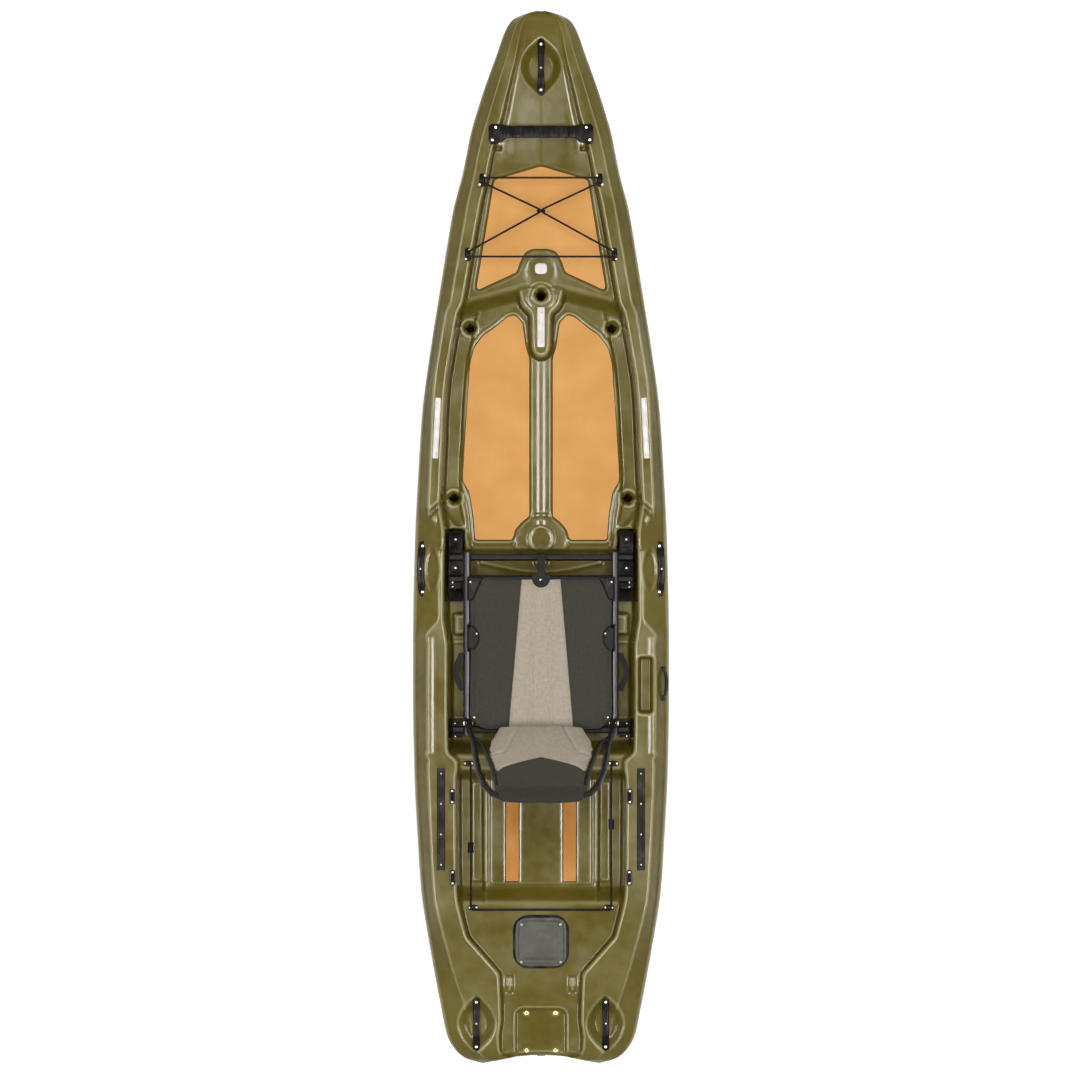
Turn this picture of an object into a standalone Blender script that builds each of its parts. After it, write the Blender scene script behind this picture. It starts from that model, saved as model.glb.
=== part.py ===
"""Sit-on-top fishing kayak with a lift-out framed seat, gear tracks, deck pads and shock cords.

The bow points along +Y, starboard is +X and the keels stand on Z = 0. Places along the hull are
given in stations, each a hundredth of its length, counted from midships. Places across it are given
in buttocks, each a hundredth of its beam, counted from the centreline. Sizes are in metres.
"""
import math

import bmesh
import bpy
from mathutils import Matrix, Vector

# Hull
HULL_LENGTH = 3.53
HULL_BEAM = 0.864
HULL_WALL = 0.005
STATION = HULL_LENGTH / 100
BUTTOCK = HULL_BEAM / 100
FIT = 0.0003
ABOVE_ALL = 0.6
BELOW_ALL = -0.05
STATION_GAP = 0.8
WALL_DRAFT = 0.010
STERN_HOLLOW = 0.030

# Share of the half length, share of the half beam
PLAN_CURVE = (
    (1.000, 0.070), (0.996, 0.139), (0.984, 0.229), (0.965, 0.278), (0.923, 0.340), (0.874, 0.414),
    (0.826, 0.481), (0.775, 0.543), (0.697, 0.609), (0.627, 0.683), (0.560, 0.731), (0.494, 0.775),
    (0.363, 0.861), (0.244, 0.926), (0.126, 0.958), (0.000, 0.984), (-0.200, 1.000), (-0.303, 1.000),
    (-0.436, 0.991), (-0.579, 0.962), (-0.667, 0.938), (-0.789, 0.861), (-0.895, 0.780),
    (-0.948, 0.734), (-0.975, 0.671), (-0.990, 0.597), (-1.000, 0.463),
)

# Station, height or depth there
KEEL_HEIGHT = ((50, 0.25), (49.3, 0.19), (48, 0.13), (45, 0.075), (40, 0.032), (34, 0.01), (26, 0.0),
               (-36, 0.0), (-44, 0.018), (-48, 0.05), (-49.3, 0.08), (-50, 0.13))
TUNNEL_HEIGHT = ((50, 0.0), (45, 0.0), (40, 0.02), (30, 0.045), (-40, 0.05), (-50, 0.03))
RIM_HEIGHT = ((50, 0.335), (48, 0.345), (40, 0.32), (26, 0.29), (0, 0.255), (-50, 0.235))
CROWN_HEIGHT = ((50, 0.372), (49.3, 0.398), (45, 0.405), (22.45, 0.357), (14, 0.345), (-35.5, 0.345),
                (-42.5, 0.325), (-48, 0.318), (-49.3, 0.305), (-50, 0.27))
DECK_HEIGHT = ((50, 0.366), (49.3, 0.388), (48, 0.394), (45, 0.39), (40, 0.364), (36, 0.34),
               (22.45, 0.305), (21.5, 0.235), (-0.9, 0.235), (-1.3, 0.2), (-19.6, 0.2), (-20.3, 0.325),
               (-21.9, 0.325), (-22.6, 0.235), (-33.4, 0.235), (-34.4, 0.3), (-42.5, 0.3),
               (-44, 0.29), (-49.3, 0.29), (-50, 0.262))
DECK_CROWN = ((50, 0.0), (48, 0.004), (45, 0.012), (40, 0.014), (36, 0.0), (-50, 0.0))
CHANNEL_DEPTH = ((21.5, 0.0), (20.9, 0.013), (3.2, 0.013), (0.9, 0.0), (-21.9, 0.0), (-22.6, 0.02),
                 (-33.4, 0.02), (-34.4, 0.0))

# Station, width there in buttocks
CHANNEL_WIDTH = ((21.5, 5.8), (0.9, 6.4), (-21.9, 9.0), (-34.4, 9.0))
GUNWALE_WIDTH = ((50, 2.1), (49.3, 5.3), (45, 8.3), (42.8, 9.3), (40, 10.4), (36, 9.6), (30.7, 10.3),
                 (22.45, 9.8), (21.5, 8.6), (15.6, 8.1), (9.6, 9.1), (3.2, 9.4), (0.9, 11.7),
                 (-7.6, 12.3), (-9.9, 13.9), (-20.3, 13.7), (-20.9, 17.0), (-34.4, 14.1),
                 (-37.7, 15.3), (-41.2, 25.3), (-43.9, 23.7), (-46, 22.2), (-48, 19.1),
                 (-49.3, 15.6), (-50, 10.4))
LEDGE_WIDTH = ((50, 0.7), (49.3, 1.7), (45, 3.5), (40, 4.9), (3.2, 4.6), (0.9, 2.3), (-7.6, 2.1),
               (-9, 8.1), (-20.3, 8.3), (-20.9, 11.3), (-34.4, 8.9), (-37.7, 8.7), (-41.2, 17.4),
               (-48, 9.3), (-50, 4.6))
STEP_SWEEP = 1.6
FIRST_CAVITY_STATION = 47.3
LAST_CAVITY_STATION = -48.2

# Drain holes through the hull: buttock, station, bore radius
SCUPPERS = ((0.0, 23.3, 0.0125), (-27.8, 20.3, 0.0107), (27.8, 20.3, 0.0107),
            (-34.1, 4.0, 0.0107), (34.1, 4.0, 0.0107))
RECESS_DEPTH = 0.024

# Console in front of the standing deck
CONSOLE_TOP = 0.296
CONSOLE_OUTLINE = ((0.0, 17.4), (2.3, 17.6), (3.6, 18.3), (3.9, 21.6), (7.2, 22.3), (8.3, 23.1),
                   (8.3, 24.6), (0.0, 24.6))

# Pads
PAD_THICKNESS = 0.005
FRONT_PAD_OUTLINE = ((0.0, 35.5), (18.4, 34.2), (19.0, 33.3), (21.3, 29.9), (25.3, 24.0), (24.4, 23.7),
                     (9.2, 25.4), (8.0, 26.3), (6.0, 27.3), (3.0, 27.6), (0.0, 27.6))
STANDING_PAD_OUTLINE = ((10.1, 21.6), (7.0, 20.8), (5.8, 18.6), (4.3, 17.4), (4.3, 2.2), (7.0, 1.75),
                        (9.7, 1.0), (11.0, -0.05), (26.0, -0.05), (26.8, 2.5), (28.3, 4.6),
                        (30.8, 5.6), (30.8, 6.3), (29.6, 11.3), (28.0, 16.9), (26.4, 18.4),
                        (22.9, 19.6), (18.6, 20.3), (13.2, 21.4))
TANKWELL_PAD_INNER = 8.4
TANKWELL_PAD_WIDTH = 0.048
TANKWELL_PAD_FRONT = -23.4
TANKWELL_PAD_REAR = -32.7

# Gear tracks
TRACK_HEIGHT = 0.010
TRACK_SLOT = 0.009
TRACK_SLOT_DEPTH = 0.006
SIDE_TRACK_WIDTH = 0.022
SIDE_TRACK_LENGTH = 0.204
SIDE_TRACK_STATION = 10.6
CENTRE_TRACK_WIDTH = 0.026
CENTRE_TRACK_LENGTH = 0.134
CENTRE_TRACK_STATION = 20.25
REAR_TRACK_WIDTH = 0.027
REAR_TRACK_LENGTH = 0.341
REAR_TRACK_STATION = -26.45
REAR_TRACK_OFFSET = 0.051

# Carry handles
HANDLE_WIDTH = 0.023
HANDLE_THICKNESS = 0.006
HANDLE_LENGTH = 0.188
HANDLE_RISE = 0.014
HANDLE_FOOT = 0.018
SLOPE_CLEARANCE = 0.0003
BOW_HANDLE_STATION = 44.65
BOW_RECESS_HALF_WIDTH = 0.052
SIDE_HANDLE_STATION = -2.75
SIDE_HANDLE_OFFSET = 0.066
SIDE_HANDLE_BOW = 0.014
STERN_HANDLE_STATION = -46.0
STERN_HANDLE_BUTTOCK = 25.1
STERN_HANDLE_LENGTH = 0.178

# Ribbed strap across the bow
GEAR_STRAP_STATION = 38.35
GEAR_STRAP_WIDTH = 0.042
GEAR_STRAP_END_WIDTH = 0.066
GEAR_STRAP_THICKNESS = 0.005
GEAR_STRAP_RISE = 0.006
GEAR_STRAP_OVERLAP = 0.034

# Shock cord
CORD_RADIUS = 0.003
CORD_LIFT = 0.010
POST_RADIUS = 0.004
HOOK_PLATE = 0.003
HOOK_WIDTH = 0.013
HOOK_LENGTH = 0.046
HOOK_CAP_RADIUS = 0.0085
BOW_HOOK_STATIONS = (34.0, 27.0)
BOW_HOOK_INSET = 0.010
CLIP_STATION = 31.1
CLIP_REACH = POST_RADIUS + 2 * CORD_RADIUS + 2 * FIT
CORNER_FRONT_STATION = -21.2
CORNER_REAR_STATION = -34.95
CORNER_BUTTOCK = 28.1
CORD_HOOK_STATIONS = (-29.2, -27.0)
CORD_HOOK_LENGTH = 0.034
CORD_HOOK_WIDTH = 0.020

# Pad eyes beside the tankwell
EYE_STATIONS = (-24.3, -32.0)
EYE_OFFSET = 0.0135
EYE_BASE_LENGTH = 0.052
EYE_BASE_WIDTH = 0.020
EYE_BASE_THICKNESS = 0.004
EYE_BORE = 0.0065
EYE_ROD = 0.003

# Rear hatch and mount recess
HATCH_STATION = -38.2
HATCH_WIDTH = 0.173
HATCH_LENGTH = 0.164
HATCH_CORNER = 0.044
HATCH_THICKNESS = 0.012
HATCH_RIM = 0.020
GASKET_THICKNESS = 0.003
GASKET_MARGIN = 0.008
MOUNT_RECESS_HALF_WIDTH = 0.085
MOUNT_RECESS_FRONT = -44.6
MOUNT_RECESS_FLOOR = 0.282
INSERT_SPACING_X = 0.0975
INSERT_SPACING_Y = 0.126
INSERT_CENTRE_STATION = -46.85
INSERT_RADIUS = 0.0065
INSERT_THREAD = 0.0032
INSERT_DEPTH = 0.014
INSERT_BOSS = 0.006

# Drain plug in the stern
DRAIN_HEIGHT = 0.205
DRAIN_RADIUS = 0.011
DRAIN_LENGTH = 0.022
DRAIN_FLANGE_RADIUS = 0.018
DRAIN_FLANGE = 0.005
DRAIN_SEAT_MARGIN = 0.002

# Pocket in the starboard gunwale and the paddle strap outside it
POCKET_INNER = 0.0145
POCKET_WIDTH = 0.046
POCKET_FRONT = -11.1
POCKET_REAR = -16.4
POCKET_DEPTH = 0.032
KEEPER_STATION = -13.65
KEEPER_LENGTH = 0.114
KEEPER_WIDTH = 0.018
KEEPER_THICKNESS = 0.004
KEEPER_RISE = 0.012
KEEPER_OUT = 0.018
KEEPER_CLEARANCE = 0.0006

# Seat
SEAT_TUBE = 0.0125
SEAT_BUTTOCK = 28.6
SEAT_HALF_WIDTH = SEAT_BUTTOCK * BUTTOCK
SEAT_RAIL_HEIGHT = 0.345
CROSS_TUBE_OVERLAP = 0.002
CROSS_TUBE_CLEARANCE = 0.008
FRONT_TUBE_STATION = -1.63
SECOND_TUBE_GAP = 0.073
REAR_TUBE_GAP = 0.578
SADDLE_WALL_GAP = 0.0055
SADDLE_GAP = 0.005
SADDLE_LIP = 0.010
FRONT_SADDLE_NOSE = 0.084
FRONT_SADDLE_TAIL = 0.150
FRONT_SADDLE_FOOT = 0.045
REAR_SADDLE_HALF_LENGTH = 0.033
SIDE_POCKET_LENGTH = 0.105
CUSHION_FRONT_GAP = 0.058
CUSHION_LENGTH = 0.466
CUSHION_OVERHANG = 0.005
CUSHION_HALF_WIDTH = SEAT_HALF_WIDTH + CUSHION_OVERHANG
CUSHION_THICKNESS = 0.022
CUSHION_CROWN = 0.012
CUSHION_ROWS = 10
EDGE_SHARE = 0.35
CHANNEL_SEAM_DEPTH = 0.004
CENTRE_PANEL_FRONT = 0.062
CENTRE_PANEL_REAR = 0.103
BACK_PIVOT_GAP = 0.5535
BACK_PIVOT_RISE = 0.050
BACK_LEAN = math.radians(31)
BACK_TUBE = 0.0105
STAY_TUBE = 0.0084
BACK_FOOT = 0.014
BACK_STRAIGHT = 0.04
BACK_PAD_THICKNESS = 0.022
BACK_CROWN = 0.008
EAR_INSET = 0.002
EAR_THICKNESS = 0.005
EAR_RADIUS = 0.015
BOLT_RADIUS = 0.004
BOLT_HEAD = 0.008
BOLT_HEAD_THICKNESS = 0.004
STRAP_THICKNESS = 0.0025
STRAP_WIDTH = 0.022
STRAP_FRONT_STATION = -10.7
STRAP_REAR_STATION = -14.3
STRAP_BULGE = 0.024
TAB_RADIUS = 0.030
TAB_REACH = 0.014
TAB_STRAP = 0.012
TAB_THICKNESS = 0.003

# Backrest outlines: share of the seat's half width, distance up the backrest
BACK_FRAME_OUTLINE = ((0.899, 0.12), (0.866, 0.2), (0.826, 0.28), (0.745, 0.36), (0.64, 0.405),
                      (0.486, 0.428), (0.243, 0.434), (0.0, 0.434))
BACK_STAY_OUTLINE = ((0.915, 0.085), (0.794, 0.12), (0.721, 0.18), (0.64, 0.27), (0.591, 0.35),
                     (0.559, 0.418))
BACK_PAD_OUTLINE = ((0.518, 0.055), (0.607, 0.075), (0.737, 0.155), (0.607, 0.285), (0.567, 0.37),
                    (0.51, 0.405))

SIDES = (("port", -1), ("starboard", 1))


def linear_through(points, place):
    """Read a straight-segment curve, listed from high to low place."""
    if place >= points[0][0]:
        return points[0][1]
    for (high, above), (low, below) in zip(points, points[1:]):
        if place >= low:
            return below + (above - below) * (place - low) / (high - low)
    return points[-1][1]


def smooth_through(points, place):
    """Read a smooth curve that never overshoots its points, listed from high to low place."""
    points = points[::-1]
    if place <= points[0][0]:
        return points[0][1]
    if place >= points[-1][0]:
        return points[-1][1]
    gaps = [b[0] - a[0] for a, b in zip(points, points[1:])]
    slopes = [(b[1] - a[1]) / gap for a, b, gap in zip(points, points[1:], gaps)]
    tangents = [slopes[0]]
    for before, after in zip(slopes, slopes[1:]):
        steady = before * after > 0
        tangents.append(2 * before * after / (before + after) if steady else 0.0)
    tangents.append(slopes[-1])
    index = next(i for i, point in enumerate(points[1:]) if place <= point[0])
    gap = gaps[index]
    t = (place - points[index][0]) / gap
    start, end = points[index][1], points[index + 1][1]
    return (
        start * (1 + 2 * t) * (1 - t) ** 2
        + tangents[index] * gap * t * (1 - t) ** 2
        + end * t * t * (3 - 2 * t)
        + tangents[index + 1] * gap * t * t * (t - 1)
    )


def curve_values(station):
    """Every measure of the hull's cross-section at a station, read from its curves."""
    return {
        "beam": smooth_through(PLAN_CURVE, station / 50) * HULL_BEAM / 2,
        "keel": linear_through(KEEL_HEIGHT, station),
        "tunnel": linear_through(TUNNEL_HEIGHT, station),
        "rim": linear_through(RIM_HEIGHT, station),
        "crown": linear_through(CROWN_HEIGHT, station),
        "deck": linear_through(DECK_HEIGHT, station),
        "crest": linear_through(DECK_CROWN, station),
        "channel": linear_through(CHANNEL_DEPTH, station),
        "channel_width": linear_through(CHANNEL_WIDTH, station) * BUTTOCK,
        "gunwale": linear_through(GUNWALE_WIDTH, station) * BUTTOCK,
        "ledge": linear_through(LEDGE_WIDTH, station) * BUTTOCK,
    }


def thinned(places, steps, gap):
    """Sort stations from the bow aft, dropping those close to a neighbour that has to stay."""
    kept = []
    for place in sorted(places, reverse=True):
        if kept and kept[-1] - place < gap and place not in steps:
            continue
        while kept and place in steps and kept[-1] not in steps and kept[-1] - place < 0.5 * gap:
            kept.pop()
        if not kept or kept[-1] - place > 0.1:
            kept.append(place)
    return kept


def hull_stations():
    """Stations of the skin's rings: the bends of the curves, without near doubles."""
    steps = {place for place, _ in DECK_HEIGHT + CHANNEL_DEPTH + CROWN_HEIGHT}
    places = steps | {share * 50 for share, _ in PLAN_CURVE}
    for curve in (KEEL_HEIGHT, GUNWALE_WIDTH, LEDGE_WIDTH):
        places.update(place for place, _ in curve)
    return thinned(places, steps, 2.0)


def cavity_stations():
    """Stations of the cavity's rings: the skin's, with a pair a wall apart at each steep step."""
    reach = HULL_WALL / STATION
    steps = set()
    for (fore, above), (aft, below) in zip(DECK_HEIGHT, DECK_HEIGHT[1:]):
        if abs(above - below) > 0.3 * (fore - aft) * STATION:
            steps.update((fore + reach, fore - reach, aft + reach, aft - reach))
    steps.update((FIRST_CAVITY_STATION, LAST_CAVITY_STATION))
    places = steps | set(SKIN_STATIONS)
    inside = [place for place in places if LAST_CAVITY_STATION <= place <= FIRST_CAVITY_STATION]
    return thinned(inside, steps, STATION_GAP)


SKIN_STATIONS = hull_stations()
SKIN_VALUES = [curve_values(place) for place in SKIN_STATIONS]


def skin_values(station):
    """The measures of the skin at a station, straight between the rings on each side of it."""
    station = min(max(station, SKIN_STATIONS[-1]), SKIN_STATIONS[0])
    aft = next(i for i, place in enumerate(SKIN_STATIONS) if place <= station)
    fore = max(aft - 1, 0)
    if fore == aft:
        return SKIN_VALUES[0]
    share = (station - SKIN_STATIONS[aft]) / (SKIN_STATIONS[fore] - SKIN_STATIONS[aft])
    low, high = SKIN_VALUES[aft], SKIN_VALUES[fore]
    return {name: low[name] + (high[name] - low[name]) * share for name in low}


def wall_line(station):
    """Distance from the centreline to the inner edge of the gunwale."""
    values = skin_values(station)
    return values["beam"] - values["gunwale"]


def crown(station):
    """Height of the flat ledge on top of the gunwale."""
    return skin_values(station)["crown"]


def deck(station):
    """Height of the side of the deck."""
    return skin_values(station)["deck"]


def slope_point(station, share):
    """Place on the outer slope of the gunwale, from its ledge (0) to its rim (1), and its tilt."""
    inner, outer = gunwale_slope(station, 0.0)
    x = inner[0] + (outer[0] - inner[0]) * share
    z = inner[1] + (outer[1] - inner[1]) * share
    tilt = math.atan2(inner[1] - outer[1], outer[0] - inner[0])
    return x, z, tilt


def gunwale_slope(station, inset):
    """Ends of the flat outer slope of the gunwale in its cross-section."""
    values = skin_values(station)
    beam = values["beam"] - inset
    top = values["crown"] - inset
    rim = values["rim"]
    rise = top - rim
    ledge = min(wall_line(station) + values["ledge"], beam - 0.25 * rise)
    return (ledge + 0.05 * rise, top), (beam - 0.16 * rise, rim + 0.42 * rise)


def hull_section(station, inset):
    """Half of a cross-section of the hull, from the keel's centre round to the deck's centre."""
    values = skin_values(station)
    beam = values["beam"] - inset
    keel = values["keel"] + inset
    tunnel = values["tunnel"]
    rim = values["rim"]
    top = values["crown"] - inset
    depth = rim - keel
    slope_in, slope_out = gunwale_slope(station, inset)
    wall = wall_line(station) + inset
    reach = inset / STATION
    level = min(deck(station - reach), deck(station), deck(station + reach)) - inset
    channel = max(skin_values(place)["channel"]
                  for place in (station - reach, station, station + reach))
    channel_end = wall - WALL_DRAFT - values["channel_width"] - 2 * inset
    channel_end = max(channel_end, 0.45 * wall)
    crest = values["crest"]
    wall_top = max(top - 0.004, level)
    foot = wall - min(WALL_DRAFT, 0.2 * wall)
    ledge_in = min(wall + 0.004, slope_in[0] - 0.002)
    channel_in = channel_end - min(0.008, 0.3 * channel_end)

    def crested(x):
        return level + crest * (1 - (x / foot) ** 2)
    return [
        (0.0, keel + tunnel),
        (0.26 * beam, keel + 0.8 * tunnel),
        (0.37 * beam, keel),
        (0.58 * beam, keel),
        (0.81 * beam, keel + 0.12 * depth),
        (0.955 * beam, keel + 0.40 * depth),
        (beam - 0.01 * depth, keel + 0.75 * depth),
        (beam, rim),
        (slope_out[0], slope_out[1]),
        (slope_in[0], slope_in[1]),
        (ledge_in, top),
        (wall, wall_top),
        (foot, min(level - channel, wall_top - 0.001)),
        (channel_end, crested(channel_end) - channel),
        (channel_in, crested(channel_in)),
        (0.0, level + crest),
    ]


def hull_ring(station, inset):
    """A closed ring of points round the hull at a station."""
    sternward = min(max((-station - 45) / 5, 0.0), 1.0)
    half = []
    for index, (x, z) in enumerate(hull_section(station, inset)):
        y = station * STATION
        hollow = max(1 - (x / (0.23 * HULL_BEAM)) ** 2, 0.0)
        y += STERN_HOLLOW * hollow * sternward
        if index >= 12 and 21 <= station <= 23:
            y += STEP_SWEEP * STATION * min(max(1.25 - x / (0.26 * HULL_BEAM), 0.0), 1.0)
        half.append(Vector((x, y, z)))
    other = [Vector((-p.x, p.y, p.z)) for p in half[-2:0:-1]]
    return half + other


def new_object(name, mesh, material):
    """Put a mesh in the scene under a name, with a material."""
    item = bpy.data.objects.new(name, mesh)
    bpy.context.scene.collection.objects.link(item)
    if material:
        mesh.materials.append(material)
    return item


def mesh_object(name, shape, material=None):
    """Turn a bmesh into an object, with its faces pointing out."""
    bmesh.ops.recalc_face_normals(shape, faces=shape.faces)
    mesh = bpy.data.meshes.new(name)
    shape.to_mesh(mesh)
    shape.free()
    return new_object(name, mesh, material)


def add_loft(shape, rings, fan_ends=False):
    """Join rings of equal length into a closed skin."""
    rows = [[shape.verts.new(point) for point in ring] for ring in rings]
    count = len(rows[0])
    for row, following in zip(rows, rows[1:]):
        for i in range(count):
            j = (i + 1) % count
            shape.faces.new((row[i], row[j], following[j], following[i]))
    for row, ring in ((rows[0], rings[0]), (rows[-1], rings[-1])):
        if fan_ends:
            centre = Vector(((ring[0] + ring[count // 2]) / 2))
            hub = shape.verts.new(centre)
            for i in range(count):
                shape.faces.new((row[i], row[(i + 1) % count], hub))
        else:
            shape.faces.new(row)


def add_prism(shape, low, high):
    """Join a lower and an upper outline of 3-D points into a closed block."""
    add_loft(shape, (low, high))


def add_cylinder(shape, start, end, radius, sides=16, end_radius=None):
    """Add a closed cylinder or cone between two points."""
    axis = (end - start).normalized()
    across = axis.orthogonal().normalized()
    up = axis.cross(across)
    rings = []
    for centre, size in ((start, radius), (end, radius if end_radius is None else end_radius)):
        ring = []
        for i in range(sides):
            angle = math.tau * (i + 0.5) / sides
            ring.append(centre + size * (math.cos(angle) * across + math.sin(angle) * up))
        rings.append(ring)
    add_loft(shape, rings)


def add_tube(shape, path, radius, sides=10, closed=False):
    """Sweep a round tube along points: capped when open, free of twist when closed and nearly level."""
    count = len(path)
    rings = []
    reference = None
    for i, point in enumerate(path):
        before = path[(i - 1) % count] if closed or i else point
        after = path[(i + 1) % count] if closed or i < count - 1 else point
        direction = (after - before).normalized()
        if closed:
            reference = direction.cross(Vector((0.0, 0.0, 1.0)))
        elif reference is None:
            reference = direction.orthogonal().normalized()
        reference = (reference - direction * reference.dot(direction)).normalized()
        up = direction.cross(reference)
        ring = []
        for k in range(sides):
            angle = math.tau * (k + 0.5) / sides
            ring.append(point + radius * (math.cos(angle) * reference + math.sin(angle) * up))
        rings.append(ring)
    if not closed:
        add_loft(shape, rings)
        return
    rows = [[shape.verts.new(point) for point in ring] for ring in rings]
    for row, following in zip(rows, rows[1:] + rows[:1]):
        for k in range(sides):
            j = (k + 1) % sides
            shape.faces.new((row[k], row[j], following[j]))
            shape.faces.new((row[k], following[j], following[k]))


def smooth_round(item, degrees=40):
    """Shade a round piece smooth, keeping its hard edges."""
    item.data.shade_smooth()
    item.data.set_sharp_from_angle(angle=math.radians(degrees))
    return item


def cutter(name, shape):
    """Make a helper body that only shapes others."""
    item = mesh_object(name, shape)
    item.hide_render = True
    item.display_type = "WIRE"
    return item


def combine(item, helper, operation="DIFFERENCE"):
    """Cut a helper out of an object, or fuse it on."""
    step = item.modifiers.new(helper.name, "BOOLEAN")
    step.operation = operation
    step.solver = "EXACT"
    step.object = helper


def plastic(name, colour, roughness, metallic=0.0):
    """A plain coloured material."""
    material = bpy.data.materials.new(name)
    material.use_nodes = True
    shader = material.node_tree.nodes["Principled BSDF"]
    shader.inputs["Base Color"].default_value = (*colour, 1.0)
    shader.inputs["Roughness"].default_value = roughness
    shader.inputs["Metallic"].default_value = metallic
    material.diffuse_color = (*colour, 1.0)
    return material


def mirrored_outline(half):
    """Close a half outline, listed from one end of the centreline to the other."""
    return list(half) + [(-x, y) for x, y in reversed(half) if abs(x) > 1e-6]


def rounded_rectangle(half_x, half_y, radius, steps=4):
    """Outline of a rectangle with round corners, counter-clockwise."""
    outline = []
    for turn, (sx, sy) in enumerate(((1, 1), (-1, 1), (-1, -1), (1, -1))):
        for i in range(steps + 1):
            angle = math.pi / 2 * (turn + i / steps)
            outline.append((sx * (half_x - radius) + radius * math.cos(angle),
                            sy * (half_y - radius) + radius * math.sin(angle)))
    return outline


def lens_outline(half_width, half_length, steps=5):
    """Outline of a pointed oval that runs along Y."""
    right = []
    for i in range(steps + 1):
        y = half_length * (2 * i / steps - 1)
        right.append((half_width * (1 - (y / half_length) ** 2) + 0.003, y))
    return right + [(-x, y) for x, y in reversed(right)]


def flat_ring(outline, height, place=(0.0, 0.0), grow=0.0):
    """Lift an outline to a height, moved, and grown away from its middle if asked."""
    ring = []
    for x, y in outline:
        reach = math.hypot(x, y)
        factor = 1 + grow / reach if reach else 1.0
        ring.append(Vector((place[0] + x * factor, place[1] + y * factor, height)))
    return ring


def hull_recess_outlines(grow):
    """Each recess or hole in the deck as a lower and an upper ring, grown by the wall."""
    above = 0.05
    recesses = []
    place = (0.0, BOW_HANDLE_STATION * STATION)
    lens = lens_outline(BOW_RECESS_HALF_WIDTH, 0.44 * HANDLE_LENGTH)
    floor = deck(BOW_HANDLE_STATION) - RECESS_DEPTH * 0.6
    recesses.append((flat_ring(lens, floor - grow, place, grow),
                     flat_ring(lens, floor + above, place, grow)))
    for _, side in SIDES:
        x, z, _ = slope_point(SIDE_HANDLE_STATION, side_handle_share())
        place = (side * (x - SIDE_HANDLE_BOW - 0.004), SIDE_HANDLE_STATION * STATION)
        lens = lens_outline(0.019, 0.37 * HANDLE_LENGTH)
        recesses.append((flat_ring(lens, z - RECESS_DEPTH - grow, place, grow),
                         flat_ring(lens, z + above, place, grow)))
        place = (side * STERN_HANDLE_BUTTOCK * BUTTOCK, STERN_HANDLE_STATION * STATION)
        lens = lens_outline(0.046, 0.44 * STERN_HANDLE_LENGTH)
        floor = crown(STERN_HANDLE_STATION) - RECESS_DEPTH
        recesses.append((flat_ring(lens, floor - grow, place, grow),
                         flat_ring(lens, floor + above, place, grow)))
        front = FRONT_TUBE_STATION * STATION
        length = SIDE_POCKET_LENGTH
        inner = SEAT_HALF_WIDTH + SEAT_TUBE
        outer = wall_line(FRONT_TUBE_STATION) - WALL_DRAFT - 0.001
        box = rounded_rectangle((outer - inner) / 2, length / 2, 0.006, 2)
        place = (side * (outer + inner) / 2, front + 0.093 - length / 2)
        floor = deck(-5)
        recesses.append((flat_ring(box, floor + 0.0005 - grow, place, grow),
                         flat_ring(box, floor + 0.09, place, grow)))
    middle = (POCKET_FRONT + POCKET_REAR) / 2
    inner = wall_line(middle) + POCKET_INNER
    place = (inner + POCKET_WIDTH / 2, middle * STATION)
    box = rounded_rectangle(POCKET_WIDTH / 2, (POCKET_FRONT - POCKET_REAR) * STATION / 2, 0.012, 3)
    floor = crown(middle) - POCKET_DEPTH
    recesses.append((flat_ring(box, floor - grow, place, grow),
                     flat_ring(box, floor + above, place, grow)))
    front = MOUNT_RECESS_FRONT * STATION
    rear = -0.52 * HULL_LENGTH
    box = rounded_rectangle(MOUNT_RECESS_HALF_WIDTH, (front - rear) / 2, 0.03, 4)
    place = (0.0, (front + rear) / 2)
    recesses.append((flat_ring(box, MOUNT_RECESS_FLOOR - grow, place, grow),
                     flat_ring(box, MOUNT_RECESS_FLOOR + above, place, grow)))
    return recesses


def side_handle_share():
    """How far down the gunwale's outer slope the side handles sit."""
    inner, outer = gunwale_slope(SIDE_HANDLE_STATION, 0.0)
    return (wall_line(SIDE_HANDLE_STATION) + SIDE_HANDLE_OFFSET - inner[0]) / (outer[0] - inner[0])


def insert_places():
    """Plan positions of the four threaded inserts."""
    middle = INSERT_CENTRE_STATION * STATION
    return [(sx * INSERT_SPACING_X / 2, middle + sy * INSERT_SPACING_Y / 2)
            for sx in (-1, 1) for sy in (-1, 1)]


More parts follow.
